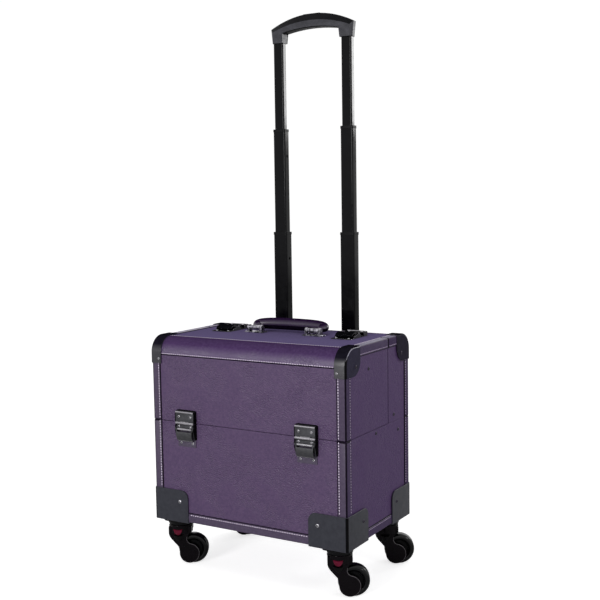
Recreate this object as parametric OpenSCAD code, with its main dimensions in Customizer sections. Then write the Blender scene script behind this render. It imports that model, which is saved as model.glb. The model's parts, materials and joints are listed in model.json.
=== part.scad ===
// Rolling grooming case: a leather-covered case with a drop-front lid, four toggle latches,
// a carry handle, a three-stage pull handle on its back and four swivel casters.
// X runs along the front, the front faces -Y, Z is up and the wheels stand on Z = 0.

/* [Case] */
// Width of the case body
case_w = 380; // [340:1:420]
// Depth of the case body
case_d = 230; // [200:1:260]
// Height of the case body, without the casters
case_h = 320; // [290:1:360]
// Height of the split between the lower box and the lid
split_h = 175; // [150:1:200]
// Depth of the fixed rear section above the split
rear_d = 79; // [70:1:90]
// Radius of the rolled top edges at the front and the back
roll_r = 27; // [20:1:32]
// Thickness of the boards
panel_t = 5; // [4:0.5:7]
// Thickness of the lining
lining_t = 1.5; // [1:0.25:2.5]
// Gap at the split and at the seam of the lid
lid_gap = 0.6; // [0.4:0.1:1.2]

/* [Edge frame] */
// Width of each leg of the edge strips
strip_w = 16; // [12:1:20]
// Thickness of the edge strips, which stand proud of the boards
strip_t = 1.2; // [0.8:0.1:1.6]

/* [Corner fittings] */
// Length of a bottom bracket along the front and the side
bracket_w = 70; // [60:1:78]
// Height of a bottom bracket above the bottom of the case
bracket_h = 55; // [45:1:65]
// Radius of a bottom bracket's free upper corner
bracket_r = 13; // [8:1:16]
// Thickness of the sheet of the corner fittings
fitting_t = 1.5; // [1:0.1:2]
// Width of a top cap along the front
cap_w = 20; // [16:1:24]
// Depth of a top cap along the side
cap_d = 49; // [46:1:52]
// Height of a top cap
cap_h = 47; // [44:1:50]
// Radius of a top cap's free lower corner
cap_r = 24; // [18:1:30]
// Radius of a rivet head
rivet_r = 3; // [2.5:0.1:4]
// Height of a rivet head
rivet_h = 1; // [0.6:0.1:1.4]

/* [Latches] */
// Distance of a front latch from the middle of the case
front_latch_x = 119; // [108:1:130]
// Distance of a top latch from the middle of the case
top_latch_x = 122; // [110:1:132]
// Width of a latch
latch_w = 37; // [32:1:40]
// Thickness of the latch plates
plate_t = 1.2; // [1:0.1:1.5]
// Length of a latch below the split or in front of the seam
latch_len = 41.5; // [40:0.5:46]
// Length of a keeper beyond the split or the seam
keeper_len = 20.5; // [18:0.5:24]
// Height of the lid's hinge axis above the front board
hinge_w = 6; // [5.6:0.1:7]
// Radius of the hinge barrel
barrel_r = 2.6; // [2.2:0.1:3]
// Radius of the hinge pin
hinge_pin_r = 1.2; // [1:0.1:1.5]
// Distance of a lever's pivot from the split or the seam
pivot_v = 10.4; // [9.5:0.1:11.5]
// Height of a lever's pivot above the board
pivot_w = 7.2; // [6.8:0.1:8]
// Radius of a lever's pivot stud
stud_r = 1.1; // [0.9:0.1:1.3]
// Running clearance of pins and studs, on the radius
run_gap = 0.05; // [0.03:0.01:0.09]
// Clearance between moving parts that don't bear on each other
side_gap = 0.5; // [0.4:0.05:0.7]

/* [Carry handle] */
// Distance of a handle bracket from the middle of the case
handle_x = 59; // [50:1:64]
// Place of the handle's pins in front of (-) or behind (+) the middle of the case
handle_y = 14; // [0:1:16]
// Height of the handle's pins above the lid
handle_pin_h = 9; // [8:0.5:11]
// Radius of the handle's pins
handle_pin_r = 2; // [1.5:0.1:2.5]
// Width between the middles of a bracket's two lugs
lug_gap = 26; // [22:1:28]
// Thickness of a lug
lug_t = 4.5; // [3.5:0.5:5.5]
// Reach of the grip's middle line from the pins
grip_reach = 31; // [28:1:36]
// Radius of the padded grip at its middle
grip_r = 10.5; // [8:0.5:11]
// How far the grip bows out beyond its pins
grip_bow = 84; // [80:1:92]
// Angle of the folded grip above the lid
grip_rest = 9; // [9:1:20]

/* [Pull handle] */
// Distance of each tube from the middle of the case
tube_x = 70; // [60:1:80]
// Width of the fixed sleeve
sleeve_w = 32; // [32:0.5:34]
// Depth of the fixed sleeve
sleeve_d = 23; // [23:0.5:25]
// Wall of the fixed sleeve
sleeve_t = 1.5; // [1:0.1:1.5]
// Width of the first sliding tube
tube1_w = 28; // [27:0.5:28]
// Depth of the first sliding tube
tube1_d = 19; // [18:0.5:19]
// Width of the second sliding tube
tube2_w = 24.5; // [23.5:0.5:24.5]
// Depth of the second sliding tube
tube2_d = 15.5; // [14.5:0.5:15.5]
// Width of the third sliding tube
tube3_w = 20; // [19:0.5:21]
// Depth of the third sliding tube
tube3_d = 12; // [11:0.5:12]
// Wall of the sliding tubes
tube_t = 1.2; // [0.8:0.1:1.2]
// Corner radius of the tubes
tube_r = 2.5; // [2:0.5:4]
// Height of the sleeve's top above the bottom of the case
sleeve_top = 300; // [280:1:310]
// Length that each stage shows above the one below
stage_show = 187.5; // [170:0.5:200]
// Length of the third tube that shows below the grip
last_show = 159; // [140:1:170]
// Length of a stage that stays inside the one below
stage_lap = 50; // [40:1:60]
// Height of the collar on top of each tube
collar_h = 5; // [4:0.5:7]
// Radius of a spring lock pin
lock_r = 2.2; // [1.8:0.1:2.5]
// Half width of the pull grip at its corners
grip_half_w = 84.5; // [82:0.5:95]
// Half width of the pull grip at the foot of its legs
grip_foot_w = 81.5; // [81:0.5:82]
// Half width of the hand opening
hand_half_w = 58.5; // [52:0.5:58.5]
// Height of the pull grip from the foot of its legs to its crown
grip_h = 47; // [44:1:54]
// Rise of the crown over the corners
crown_rise = 21; // [14:1:24]
// Thickness of the pull grip's bar at its middle
bar_h = 25; // [22:1:28]
// Depth of the pull grip, front to back
grip_d = 20; // [18:1:24]
// Length of the release button
button_w = 34; // [26:1:44]
// Depth of the release button
button_d = 9; // [7:0.5:11]
// Height of the release button
button_h = 9; // [8:0.5:11]
// Travel of the release button
button_travel = 3; // [2:0.5:3.5]

/* [Casters] */
// Height from the floor to the bottom of the case
caster_h = 85; // [82:1:92]
// Distance of a swivel axis from the case's faces
caster_inset = 30; // [27:1:36]
// Radius of a wheel
wheel_r = 26; // [24:0.5:27]
// Width of a tyre
tyre_w = 20; // [16:1:22]
// Radius of the hub under the tyre
hub_r = 18; // [15:0.5:20]
// Distance of the axle from the swivel axis
trail = 22; // [20:0.5:24]
// Heading of the casters at rest, from +X towards +Y
heading = 30; // [0:5:60]
// Radius of the fork's neck
neck_r = 20.5; // [18:0.5:21]
// Thickness of a fork cheek
cheek_t = 4; // [3:0.5:5]
// Radius of the axle
axle_r = 3; // [2.5:0.25:4]
// Radius of the kingpin
kingpin_r = 5; // [4:0.25:6]
// Side of the mounting plate
plate_w = 46; // [44:1:50]

/* [Tray] */
// Height of the lift-out tray
tray_h = 46; // [30:1:60]
// Clearance round the tray
tray_gap = 3; // [2:0.5:6]
// Wall of the tray
tray_t = 2; // [1.5:0.25:3]

/* [Hidden] */
$fn = 48;

eps = 0.01;
far = 1000;
half_w = case_w / 2;
half_d = case_d / 2;
seam_y = half_d - rear_d;
face_in = strip_t + panel_t;
inner_w = half_w - face_in;
inner_d = half_d - face_in;
lining_gap = 0.1;
panel_y = half_d - strip_t;
lid_top = case_h - strip_t;

leather = "#5f5069";
leather_dark = "#43344f";
strip_leather = "#57505f";
lining_cloth = "#2b2830";
gunmetal = "#3a3b3f";
black_steel = "#26262a";
gloss_black = "#141416";
zinc = "#8f8c93";
grip_leather = "#3f2f4a";

// Frames of reference

module on_casters() {
    translate([0, 0, caster_h]) children();
}

module both_sides() {
    children();
    mirror([1, 0, 0]) children();
}

module four_corners() {
    both_sides() {
        children();
        mirror([0, 1, 0]) children();
    }
}

// Turns a drawing whose first axis is Y and whose second is Z into a solid from x0 to x1
module along_x(x0, x1) {
    translate([x0, 0, 0]) rotate([90, 0, 90]) linear_extrude(x1 - x0) children();
}

// Latch frame: X across, Y towards the keeper with the joint line at 0, Z out of the board
module at_front(side) {
    translate([side * front_latch_x, -panel_y, split_h]) rotate([90, 0, 0]) children();
}

module at_top(side) {
    translate([side * top_latch_x, seam_y, lid_top]) children();
}

module block(low, high) {
    translate(low) cube(high - low);
}

// Case side view, drawn in Y and Z, with the outer face moved in by inset

module front_outline(inset) {
    r = roll_r - inset;
    y0 = -half_d + inset;
    y1 = seam_y - lid_gap / 2;
    z0 = split_h + lid_gap / 2;
    z1 = case_h - inset;
    translate([y0 + r, z0]) square([y1 - y0 - r, z1 - z0]);
    translate([y0, z0]) square([r + eps, z1 - r - z0]);
    translate([y0 + r, z1 - r]) circle(r);
}

module rear_outline(inset) {
    r = roll_r - inset;
    y0 = seam_y + lid_gap / 2;
    y1 = half_d - inset;
    z1 = case_h - inset;
    translate([y0, split_h]) square([y1 - y0 - r, z1 - split_h]);
    translate([y1 - r - eps, split_h]) square([r + eps, z1 - r - split_h]);
    translate([y1 - r, z1 - r]) circle(r);
}

// Reaches past the outlines above on their open edges, for hollowing them

module front_hollow(inset) {
    front_outline(inset);
    translate([-half_d + inset, split_h - 1]) square([case_d - rear_d - inset + 1, roll_r]);
    translate([seam_y - roll_r, split_h - 1]) square([roll_r + 1, case_h - inset - split_h + 1]);
}

module rear_hollow(inset) {
    rear_outline(inset);
    translate([seam_y - 1, split_h - 1]) square([rear_d - inset + 1, roll_r]);
    translate([seam_y - 1, split_h - 1]) square([roll_r, case_h - inset - split_h + 1]);
}

// Lower box

module base_front_panel() {
    color(leather) on_casters()
        block([-inner_w, -panel_y, face_in], [inner_w, -inner_d, split_h]);
}

module base_back_panel() {
    color(leather) on_casters()
        block([-inner_w, inner_d, face_in], [inner_w, panel_y, split_h]);
}

module base_side_panels() {
    color(leather_dark) on_casters() both_sides()
        block([inner_w, -panel_y, strip_t], [half_w - strip_t, panel_y, split_h]);
}

module base_floor_panel() {
    color(leather_dark) on_casters()
        block([-inner_w, -panel_y, strip_t], [inner_w, panel_y, face_in]);
}

module base_edge_frame() {
    color(strip_leather) on_casters() difference() {
        block([-half_w, -half_d, 0], [half_w, half_d, split_h]);
        block([-half_w + strip_t, -panel_y, strip_t], [half_w - strip_t, panel_y, split_h + 1]);
        block([-half_w + strip_w, -half_d - 1, strip_w], [half_w - strip_w, half_d + 1, split_h + 1]);
        block([-half_w - 1, -half_d + strip_w, strip_w], [half_w + 1, half_d - strip_w, split_h + 1]);
        block([-half_w + strip_w, -half_d + strip_w, -1], [half_w - strip_w, half_d - strip_w, strip_t + 1]);
    }
}

rail_drop = 57;
rail_z = split_h - rail_drop;
rail_w = 8;
rail_h = 4;
lining_top = split_h - 3;

module base_lining() {
    lw = inner_w - lining_gap;
    ld = inner_d - lining_gap;
    color(lining_cloth) on_casters() {
        difference() {
            block([-lw, -ld, face_in + lining_gap], [lw, ld, lining_top]);
            block([-lw + lining_t, -ld + lining_t, face_in + lining_t],
                  [lw - lining_t, ld - lining_t, split_h]);
        }
        both_sides()
            block([lw - lining_t - rail_w, -ld + lining_t - eps, rail_z - rail_h],
                  [lw - lining_t + eps, seam_y, rail_z]);
    }
}

// Fixed rear section above the split

module rear_shell_panel() {
    color(leather) on_casters() along_x(-inner_w, inner_w) difference() {
        rear_outline(strip_t);
        rear_hollow(face_in);
    }
}

module rear_side_panels() {
    color(leather_dark) on_casters() both_sides()
        along_x(inner_w, half_w - strip_t) rear_outline(strip_t);
}

module rear_edge_frame() {
    color(strip_leather) on_casters() both_sides() {
        along_x(half_w - strip_t, half_w) difference() {
            rear_outline(0);
            rear_hollow(strip_w);
        }
        along_x(half_w - strip_w, half_w - strip_t + eps) difference() {
            rear_outline(0);
            rear_hollow(strip_t);
        }
    }
}

module rear_lining() {
    lw = inner_w - lining_gap;
    color(lining_cloth) on_casters() difference() {
        along_x(-lw, lw) rear_outline(face_in + lining_gap);
        along_x(-lw + lining_t, lw - lining_t) rear_hollow(face_in + lining_gap + lining_t);
    }
}

strap_in = 50;
strap_y = half_d - strap_in;
strap_half = 16;
strap_reach = 30;
strap_t = 2;

module joining_straps() {
    x1 = inner_w - lining_gap - lining_t;
    color(zinc) on_casters() both_sides()
        block([x1 - strap_t, strap_y - strap_half, split_h - strap_reach],
              [x1, strap_y + strap_half, split_h + strap_reach]);
}

// Corner fittings

// Region of the square corner (0,0)-(w,h) with its far top corner rounded
module round_corner(w, h, r) {
    square([w - r, h]);
    square([w, h - r]);
    translate([w - r, h - r]) circle(r);
}

module bottom_brackets() {
    full_h = bracket_h + fitting_t;
    color(gunmetal) on_casters() four_corners()
        translate([half_w + fitting_t, -half_d - fitting_t, -fitting_t]) {
            rotate([90, 0, 180]) linear_extrude(fitting_t)
                round_corner(bracket_w + fitting_t, full_h, bracket_r);
            translate([-fitting_t, 0, 0]) rotate([90, 0, 90]) linear_extrude(fitting_t)
                round_corner(bracket_w + fitting_t, full_h, bracket_r);
            translate([-bracket_w - fitting_t, 0, 0])
                cube([bracket_w + fitting_t, bracket_w + fitting_t, fitting_t]);
        }
}

// Side view of a front cap: the corner of the lid, in Y and Z
module cap_outline() {
    y0 = -half_d - fitting_t;
    z1 = case_h + fitting_t;
    intersection() {
        translate([y0, z1]) mirror([0, 1]) round_corner(cap_d, cap_h, cap_r);
        union() {
            r = roll_r + fitting_t;
            translate([y0 + r, z1 - case_h]) square([case_d, case_h]);
            translate([y0, z1 - case_h]) square([r + eps, case_h - r]);
            translate([y0 + r, z1 - r]) circle(r);
        }
    }
}

module corner_cap() {
    along_x(half_w, half_w + fitting_t) cap_outline();
    along_x(half_w - cap_w, half_w + eps) difference() {
        cap_outline();
        cap_hollow();
    }
}

// Space of the case inside a cap
module cap_hollow() {
    y0 = -half_d;
    r = roll_r;
    translate([y0 + r, 0]) square([case_d, case_h]);
    translate([y0, 0]) square([r + eps, case_h - r]);
    translate([y0 + r, case_h - r]) circle(r);
}

module lid_corner_caps() {
    color(black_steel) on_casters() both_sides() corner_cap();
}

module rear_corner_caps() {
    color(black_steel) on_casters() both_sides() mirror([0, 1, 0]) corner_cap();
}

// Rivets

module rivet_head(r = rivet_r, h = rivet_h) {
    cylinder(r = r, h = h * 0.5);
    translate([0, 0, h * 0.5 - eps]) cylinder(r1 = r, r2 = r * 0.6, h = h * 0.5 + eps);
}

// Rivets on the right side face at [y, z], with the height of the face above the edge frame
module side_rivets(places, proud) {
    both_sides() for (p = places)
        translate([half_w + proud, p[0], p[1]]) rotate([0, 90, 0]) rivet_head();
}

bracket_rivet_x = 53;
bracket_rivet_z = 35;
cap_rivet_y = 32;
cap_rivet_z = 31;
cap_front_rivet_x = 15;
cap_front_rivet_z = 9.5;
lid_rivet_y = 80;
lid_rivet_z = 41;
rail_rivet = [-10, -7];
strap_rivets = [[8.5, -17], [-8, 12]];
latch_rivet_x = 12;
keeper_rivet_v = 11.3;
mid_rivet_v = 5.5;
tail_rivet_v = 35;
small_rivet_r = 2.1;
mid_w = 7;

module base_rivets() {
    color(zinc) on_casters() {
        four_corners() {
            translate([half_w - bracket_rivet_x, -half_d - fitting_t, bracket_rivet_z])
                rotate([90, 0, 0]) rivet_head();
            translate([half_w + fitting_t, -half_d + bracket_rivet_x, bracket_rivet_z])
                rotate([0, 90, 0]) rivet_head();
        }
        side_rivets([[half_d - cap_rivet_y, case_h - cap_rivet_z]], fitting_t);
        side_rivets([[0, split_h] + rail_rivet], -strip_t);
        side_rivets([for (p = strap_rivets) [strap_y, split_h] + p], -strip_t);
        for (side = [-1, 1]) {
            at_front(side) {
                for (x = [-1, 1] * latch_rivet_x) {
                    translate([x, -mid_rivet_v, mid_w]) rivet_head(small_rivet_r);
                    translate([x, -tail_rivet_v, plate_t]) rivet_head(small_rivet_r);
                }
                latch_bar();
            }
            at_top(side) for (x = [-1, 1] * latch_rivet_x)
                translate([x, catch_room + 5, cover_w]) rivet_head(small_rivet_r);
        }
    }
}

module lid_rivets() {
    color(zinc) on_casters() {
        both_sides()
            translate([half_w - cap_front_rivet_x, -half_d - fitting_t, case_h - cap_h + cap_front_rivet_z])
                rotate([90, 0, 0]) rivet_head(small_rivet_r);
        side_rivets([[-half_d + cap_rivet_y, case_h - cap_rivet_z]], fitting_t);
        side_rivets([[-half_d + lid_rivet_y, case_h - lid_rivet_z]], -strip_t);
        for (side = [-1, 1]) {
            at_front(side) for (x = [-1, 1] * latch_rivet_x)
                translate([x, keeper_rivet_v, cover_w]) rivet_head(small_rivet_r);
            at_top(side) {
                for (x = [-1, 1] * latch_rivet_x)
                    translate([x, -tail_rivet_v, plate_t]) rivet_head(small_rivet_r);
                latch_studs();
            }
        }
        handle_pins();
    }
}

// Latch parts, in the latch frame

ear_t = 1.8;
ear_in = latch_w / 2 - ear_t;
flange_out = ear_in - side_gap;
flange_t = 1.5;
flange_in = flange_out - flange_t;
hook_half = flange_in - side_gap;
flap_root = 14.4;
flap_end = 31;
flap_t = 1.3;
flap_cv = 18;
flap_cw = -10;
flap_r = 20.5;
hook_pin = [-13.4, 4.9];
hook_pin_r = 0.9;
hook_w0 = 3.6;
hook_w1 = 4.8;
catch_v = 3.3;
catch_room = 7;
cover_rise = 1.4;
cover_w = hinge_w + cover_rise;
leaf_v0 = barrel_r + 0.4;
bar_r = 2.2;
bead_r = 1.6;

// Short studs through the ears and the lever's flanges
module latch_studs() {
    for (s = [0, 1]) mirror([s, 0, 0])
        translate([flange_in, -pivot_v, pivot_w]) rotate([0, 90, 0])
            cylinder(r = stud_r, h = latch_w / 2 - flange_in + 0.4);
}

// A front latch has one long stud, with a bar between the lever's flanges
module latch_bar() {
    translate([-latch_w / 2 - 0.4, -pivot_v, pivot_w]) rotate([0, 90, 0])
        cylinder(r = stud_r, h = latch_w + 0.8);
    translate([-flange_in + side_gap, -pivot_v, pivot_w]) rotate([0, 90, 0])
        cylinder(r = bar_r, h = 2 * (flange_in - side_gap));
}

module latch_plate() {
    difference() {
        union() {
            block([-latch_w / 2, -latch_len, 0], [latch_w / 2, -1.5, plate_t]);
            for (s = [0, 1]) mirror([s, 0, 0])
                along_x(ear_in, latch_w / 2) {
                    polygon([[-flap_end + 3, 0], [-2, 0], [-2, 3], [-pivot_v + 2.8, pivot_w],
                             [-pivot_v - 2.8, pivot_w], [-flap_end + 3, 4]]);
                    translate([-pivot_v, pivot_w]) circle(2.8);
                }
        }
        translate([-latch_w, -pivot_v, pivot_w]) rotate([0, 90, 0])
            cylinder(r = stud_r + run_gap, h = 2 * latch_w);
    }
}

// Curved flap between two flanges that turn on the studs
module lever_body() {
    difference() {
        union() {
            along_x(-flange_out, flange_out) intersection() {
                difference() {
                    translate([-flap_cv, flap_cw]) circle(flap_r, $fn = 96);
                    translate([-flap_cv, flap_cw]) circle(flap_r - flap_t, $fn = 96);
                }
                translate([-flap_end, plate_t]) square([flap_end - flap_root, 12]);
            }
            for (s = [0, 1]) mirror([s, 0, 0]) along_x(flange_in, flange_out) {
                translate([-pivot_v, pivot_w]) circle(2.4);
                polygon([[-pivot_v, pivot_w + 2.4], [-flap_root - 0.4, 9.9], [-22, 9],
                         [-21, 7], [-14.8, 3.2], [-11.5, 5]]);
            }
        }
        translate([-latch_w, -pivot_v, pivot_w]) rotate([0, 90, 0])
            cylinder(r = stud_r + run_gap, h = 2 * latch_w);
    }
}

// Top levers carry the pin that the hook hangs on
module top_lever_body() {
    lever_body();
    translate([-flange_in - eps, hook_pin[0], hook_pin[1]]) rotate([0, 90, 0])
        cylinder(r = hook_pin_r, h = 2 * flange_in + 2 * eps);
}

module hook_body() {
    difference() {
        union() {
            block([-hook_half, hook_pin[0], hook_w0], [hook_half, catch_v + 1.5, hook_w1]);
            translate([-hook_half, hook_pin[0], hook_pin[1]]) rotate([0, 90, 0])
                cylinder(r = 1.9, h = 2 * hook_half);
            block([-hook_half, catch_v, hook_w0 - 1.4], [hook_half, catch_v + 1.5, hook_w1]);
            translate([-hook_half, catch_v + 0.6, hook_w1 - 0.2]) rotate([0, 90, 0])
                cylinder(r = 1.4, h = 2 * hook_half);
            for (x = [-8, 8]) translate([x, -mid_rivet_v + 0.7, hook_w1 - eps]) rivet_head(small_rivet_r);
        }
        translate([-latch_w, hook_pin[0], hook_pin[1]]) rotate([0, 90, 0])
            cylinder(r = hook_pin_r + run_gap + 0.02, h = 2 * latch_w);
    }
}

knuckle_half = 8.7;
mid_v = 3.2;

// Base of a front latch: plate, ears and the two outer knuckles of the lid's hinge
module front_base_body() {
    latch_plate();
    block([-ear_in - eps, -pivot_v + bar_r + 0.4, 0], [ear_in + eps, -mid_v, mid_w]);
    difference() {
        for (s = [0, 1]) mirror([s, 0, 0]) {
            translate([knuckle_half + side_gap / 2, 0, hinge_w]) rotate([0, 90, 0])
                cylinder(r = barrel_r, h = latch_w / 2 - knuckle_half - side_gap / 2);
            block([knuckle_half + side_gap / 2, -mid_v - eps, plate_t - eps],
                  [latch_w / 2, -lid_gap, hinge_w - 1]);
        }
        pin_hole();
    }
}

module pin_hole() {
    translate([-latch_w, 0, hinge_w]) rotate([0, 90, 0])
        cylinder(r = hinge_pin_r + run_gap, h = 2 * latch_w);
}

// Hinge leaf on the lid, which looks like the keeper of a top latch
module hinge_leaf_body() {
    raised_cover(leaf_v0);
    difference() {
        union() {
            translate([-knuckle_half, 0, hinge_w]) rotate([0, 90, 0])
                cylinder(r = barrel_r, h = 2 * knuckle_half);
            block([-knuckle_half, lid_gap, 0], [knuckle_half, leaf_v0 + 1.5, cover_w - 0.2]);
        }
        pin_hole();
    }
}

// Sheet cover over the far half of a latch, open towards the joint line, with a bead along its end
module raised_cover(v0) {
    block([-latch_w / 2, v0, cover_w - plate_t], [latch_w / 2, keeper_len, cover_w]);
    block([-latch_w / 2, keeper_len - plate_t, 0], [latch_w / 2, keeper_len, cover_w]);
    for (s = [0, 1]) mirror([s, 0, 0])
        block([latch_w / 2 - plate_t, v0, 0], [latch_w / 2, keeper_len, cover_w]);
    translate([-latch_w / 2, keeper_len - bead_r, cover_w - 0.5]) rotate([0, 90, 0])
        cylinder(r = bead_r, h = latch_w);
}

module top_keeper_body() {
    block([-latch_w / 2, 1, 0], [latch_w / 2, catch_room + 2, plate_t]);
    block([-latch_w / 2, 1, plate_t - eps], [latch_w / 2, 2.2, hook_w0 - 0.6]);
    raised_cover(catch_room);
}

module front_latch_bases() {
    color(gunmetal) on_casters() for (side = [-1, 1]) at_front(side) front_base_body();
}

module front_hinge_pins() {
    color(zinc) on_casters() for (side = [-1, 1]) at_front(side)
        translate([-latch_w / 2, 0, hinge_w]) rotate([0, 90, 0])
            cylinder(r = hinge_pin_r, h = latch_w);
}

module lid_hinge_leaves() {
    color(gunmetal) on_casters() for (side = [-1, 1]) at_front(side) hinge_leaf_body();
}

module top_latch_bases() {
    color(gunmetal) on_casters() for (side = [-1, 1]) at_top(side) latch_plate();
}

module top_latch_keepers() {
    color(gunmetal) on_casters() for (side = [-1, 1]) at_top(side) top_keeper_body();
}

module front_lever(side) {
    color(black_steel) on_casters() at_front(side) lever_body();
}

module top_lever(side) {
    color(black_steel) on_casters() at_top(side) top_lever_body();
}

module top_hook(side) {
    color(gunmetal) on_casters() at_top(side) hook_body();
}

module front_lever_left() { front_lever(-1); }

module front_lever_right() { front_lever(1); }

module top_lever_left() { top_lever(-1); }

module top_lever_right() { top_lever(1); }

module top_hook_left() { top_hook(-1); }

module top_hook_right() { top_hook(1); }

// Lid

module lid_shell_panel() {
    color(leather) on_casters() along_x(-inner_w, inner_w) difference() {
        front_outline(strip_t);
        front_hollow(face_in);
    }
}

module lid_side_panels() {
    color(leather_dark) on_casters() both_sides()
        along_x(inner_w, half_w - strip_t) front_outline(strip_t);
}

module lid_edge_frame() {
    color(strip_leather) on_casters() both_sides() {
        along_x(half_w - strip_t, half_w) difference() {
            front_outline(0);
            front_hollow(strip_w);
        }
        along_x(half_w - strip_w, half_w - strip_t + eps) difference() {
            front_outline(0);
            front_hollow(strip_t);
        }
    }
}

module lid_lining() {
    lw = inner_w - lining_gap;
    color(lining_cloth) on_casters() difference() {
        along_x(-lw, lw) front_outline(face_in + lining_gap);
        along_x(-lw + lining_t, lw - lining_t) front_hollow(face_in + lining_gap + lining_t);
    }
}

// Carry handle

lug_half_y = 5;
foot_lap = 6.5;
handle_foot = lug_gap + 2 * foot_lap;
handle_foot_t = 2;
handle_foot_d = 14;

// Frame of the handle's pins: X along the pins, Y and Z from their axis
module at_handle_pin() {
    translate([0, handle_y, lid_top + handle_pin_h]) children();
}

module handle_brackets() {
    color(zinc) on_casters() both_sides() translate([handle_x, 0, 0]) at_handle_pin() difference() {
        union() {
            block([-handle_foot / 2, -handle_foot_d / 2, -handle_pin_h],
                  [handle_foot / 2, handle_foot_d / 2, -handle_pin_h + handle_foot_t]);
            for (x = [-1, 1] * lug_gap / 2) {
                block([x - lug_t / 2, -lug_half_y, -handle_pin_h],
                      [x + lug_t / 2, lug_half_y, 0]);
                translate([x - lug_t / 2, 0, 0]) rotate([0, 90, 0]) cylinder(r = lug_half_y, h = lug_t);
            }
        }
        translate([-handle_foot, 0, 0]) rotate([0, 90, 0])
            cylinder(r = handle_pin_r + run_gap, h = 2 * handle_foot);
    }
}

module handle_pins() {
    both_sides() translate([handle_x, 0, 0]) at_handle_pin()
        translate([-lug_gap / 2 - lug_t / 2 - 0.5, 0, 0]) rotate([0, 90, 0])
            cylinder(r = handle_pin_r, h = lug_gap + lug_t + 1);
}

loop_r = 4;
loop_half = lug_gap / 2 - lug_t / 2 - side_gap;
tang_t = 4;
tang_len = 11;

// Metal ends of the grip, which turn on the pins
module handle_loops() {
    color(zinc) on_casters() both_sides() translate([handle_x, 0, 0]) at_handle_pin()
        rotate([grip_rest, 0, 0]) difference() {
            union() {
                translate([-loop_half, 0, 0]) rotate([0, 90, 0]) cylinder(r = loop_r, h = 2 * loop_half);
                block([-loop_half + 1, 0, -tang_t / 2], [loop_half - 1, tang_len, tang_t / 2]);
            }
            translate([-handle_foot, 0, 0]) rotate([0, 90, 0])
                cylinder(r = handle_pin_r + run_gap, h = 2 * handle_foot);
        }
}

// Bow of the grip: middle line and half sizes at u, which runs from -1 to 1 along it
grip_steps = 28;
grip_sides = 14;
grip_flat = 1.1;
grip_taper = 0.52;
taper_power = 2.6;
bow_flat = 0.8;
bow_droop = 4;
tang_out = 1;
bow_points = [[0, grip_reach], [handle_x * bow_flat, grip_reach], [grip_bow, grip_reach - bow_droop],
              [handle_x + tang_out, tang_len]];
function bow(t) = pow(1 - t, 3) * bow_points[0] + 3 * pow(1 - t, 2) * t * bow_points[1]
    + 3 * (1 - t) * t * t * bow_points[2] + pow(t, 3) * bow_points[3];
function grip_mid(u) = let (p = bow(abs(u))) [sign(u) * p[0], p[1]];
function grip_half(u) = grip_r * (1 - grip_taper * pow(abs(u), taper_power));
function grip_ring(u) =
    let (m = grip_mid(u), a = grip_mid(u - 0.01), b = grip_mid(u + 0.01))
    let (t = atan2(b[1] - a[1], b[0] - a[0]), r = grip_half(u))
    [for (k = [0:grip_sides - 1]) let (q = 360 * k / grip_sides)
        [m[0] - sin(t) * r * grip_flat * cos(q), m[1] + cos(t) * r * grip_flat * cos(q), r * sin(q)]];

module carry_grip() {
    rings = [for (i = [0:grip_steps]) grip_ring(2 * i / grip_steps - 1)];
    points = [for (ring = rings) each ring];
    n = grip_sides;
    faces = [
        for (i = [0:grip_steps - 1], k = [0:n - 1], s = [0, 1])
            let (a = i * n + k, b = i * n + (k + 1) % n)
            s == 0 ? [a, b, b + n] : [a, b + n, a + n],
        [for (k = [n - 1:-1:0]) k],
        [for (k = [0:n - 1]) grip_steps * n + k]
    ];
    color(grip_leather) on_casters() at_handle_pin() rotate([grip_rest, 0, 0])
        polyhedron(points, faces, convexity = 6);
}

// Pull handle

sleeve_gap = 0.5;
tube_y = half_d + sleeve_gap + sleeve_d / 2;
sleeve_low = 42;
joint1_z = sleeve_top + stage_show;
joint2_z = joint1_z + stage_show;
foot_z = joint2_z + last_show;
tube1_low = sleeve_top - stage_lap - 15;
tube2_low = joint1_z - stage_lap;
tube3_low = joint2_z - stage_lap;
shoulder_h = 5;
insert_h = 15;
lock_drop = stage_lap - 6;
slide_gap = 0.4;

module tube_outline(w, d, r) {
    square([w - 2 * r, d], center = true);
    square([w, d - 2 * r], center = true);
    for (x = [-1, 1], y = [-1, 1])
        translate([x * (w / 2 - r), y * (d / 2 - r)]) circle(r, $fn = 32);
}

// Runs from z0 to z1 round the middle of the right tube
module tube_solid(w, d, r, z0, z1) {
    translate([tube_x, tube_y, z0]) linear_extrude(z1 - z0) tube_outline(w, d, r);
}

// Hole for a lock pin in the face of a tube that looks at its twin
module lock_hole(w, z) {
    translate([tube_x - w / 2 - 2, tube_y, z]) rotate([0, 90, 0]) cylinder(r = lock_r + 0.3, h = 6);
}

module hollow_tube(w, d, t, z0, z1) {
    difference() {
        tube_solid(w, d, tube_r, z0, z1);
        tube_solid(w - 2 * t, d - 2 * t, tube_r - t, z0 - 1, z1 + 1);
    }
}

// Collar on a tube of w by d, open for the tube of inner_w by inner_d
module collar(w, d, hole_w, hole_d, z) {
    difference() {
        tube_solid(w + 1, d + 1, tube_r, z, z + collar_h);
        tube_solid(hole_w + 2 * slide_gap, hole_d + 2 * slide_gap, tube_r, z - 1, z + collar_h + 1);
    }
}

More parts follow.
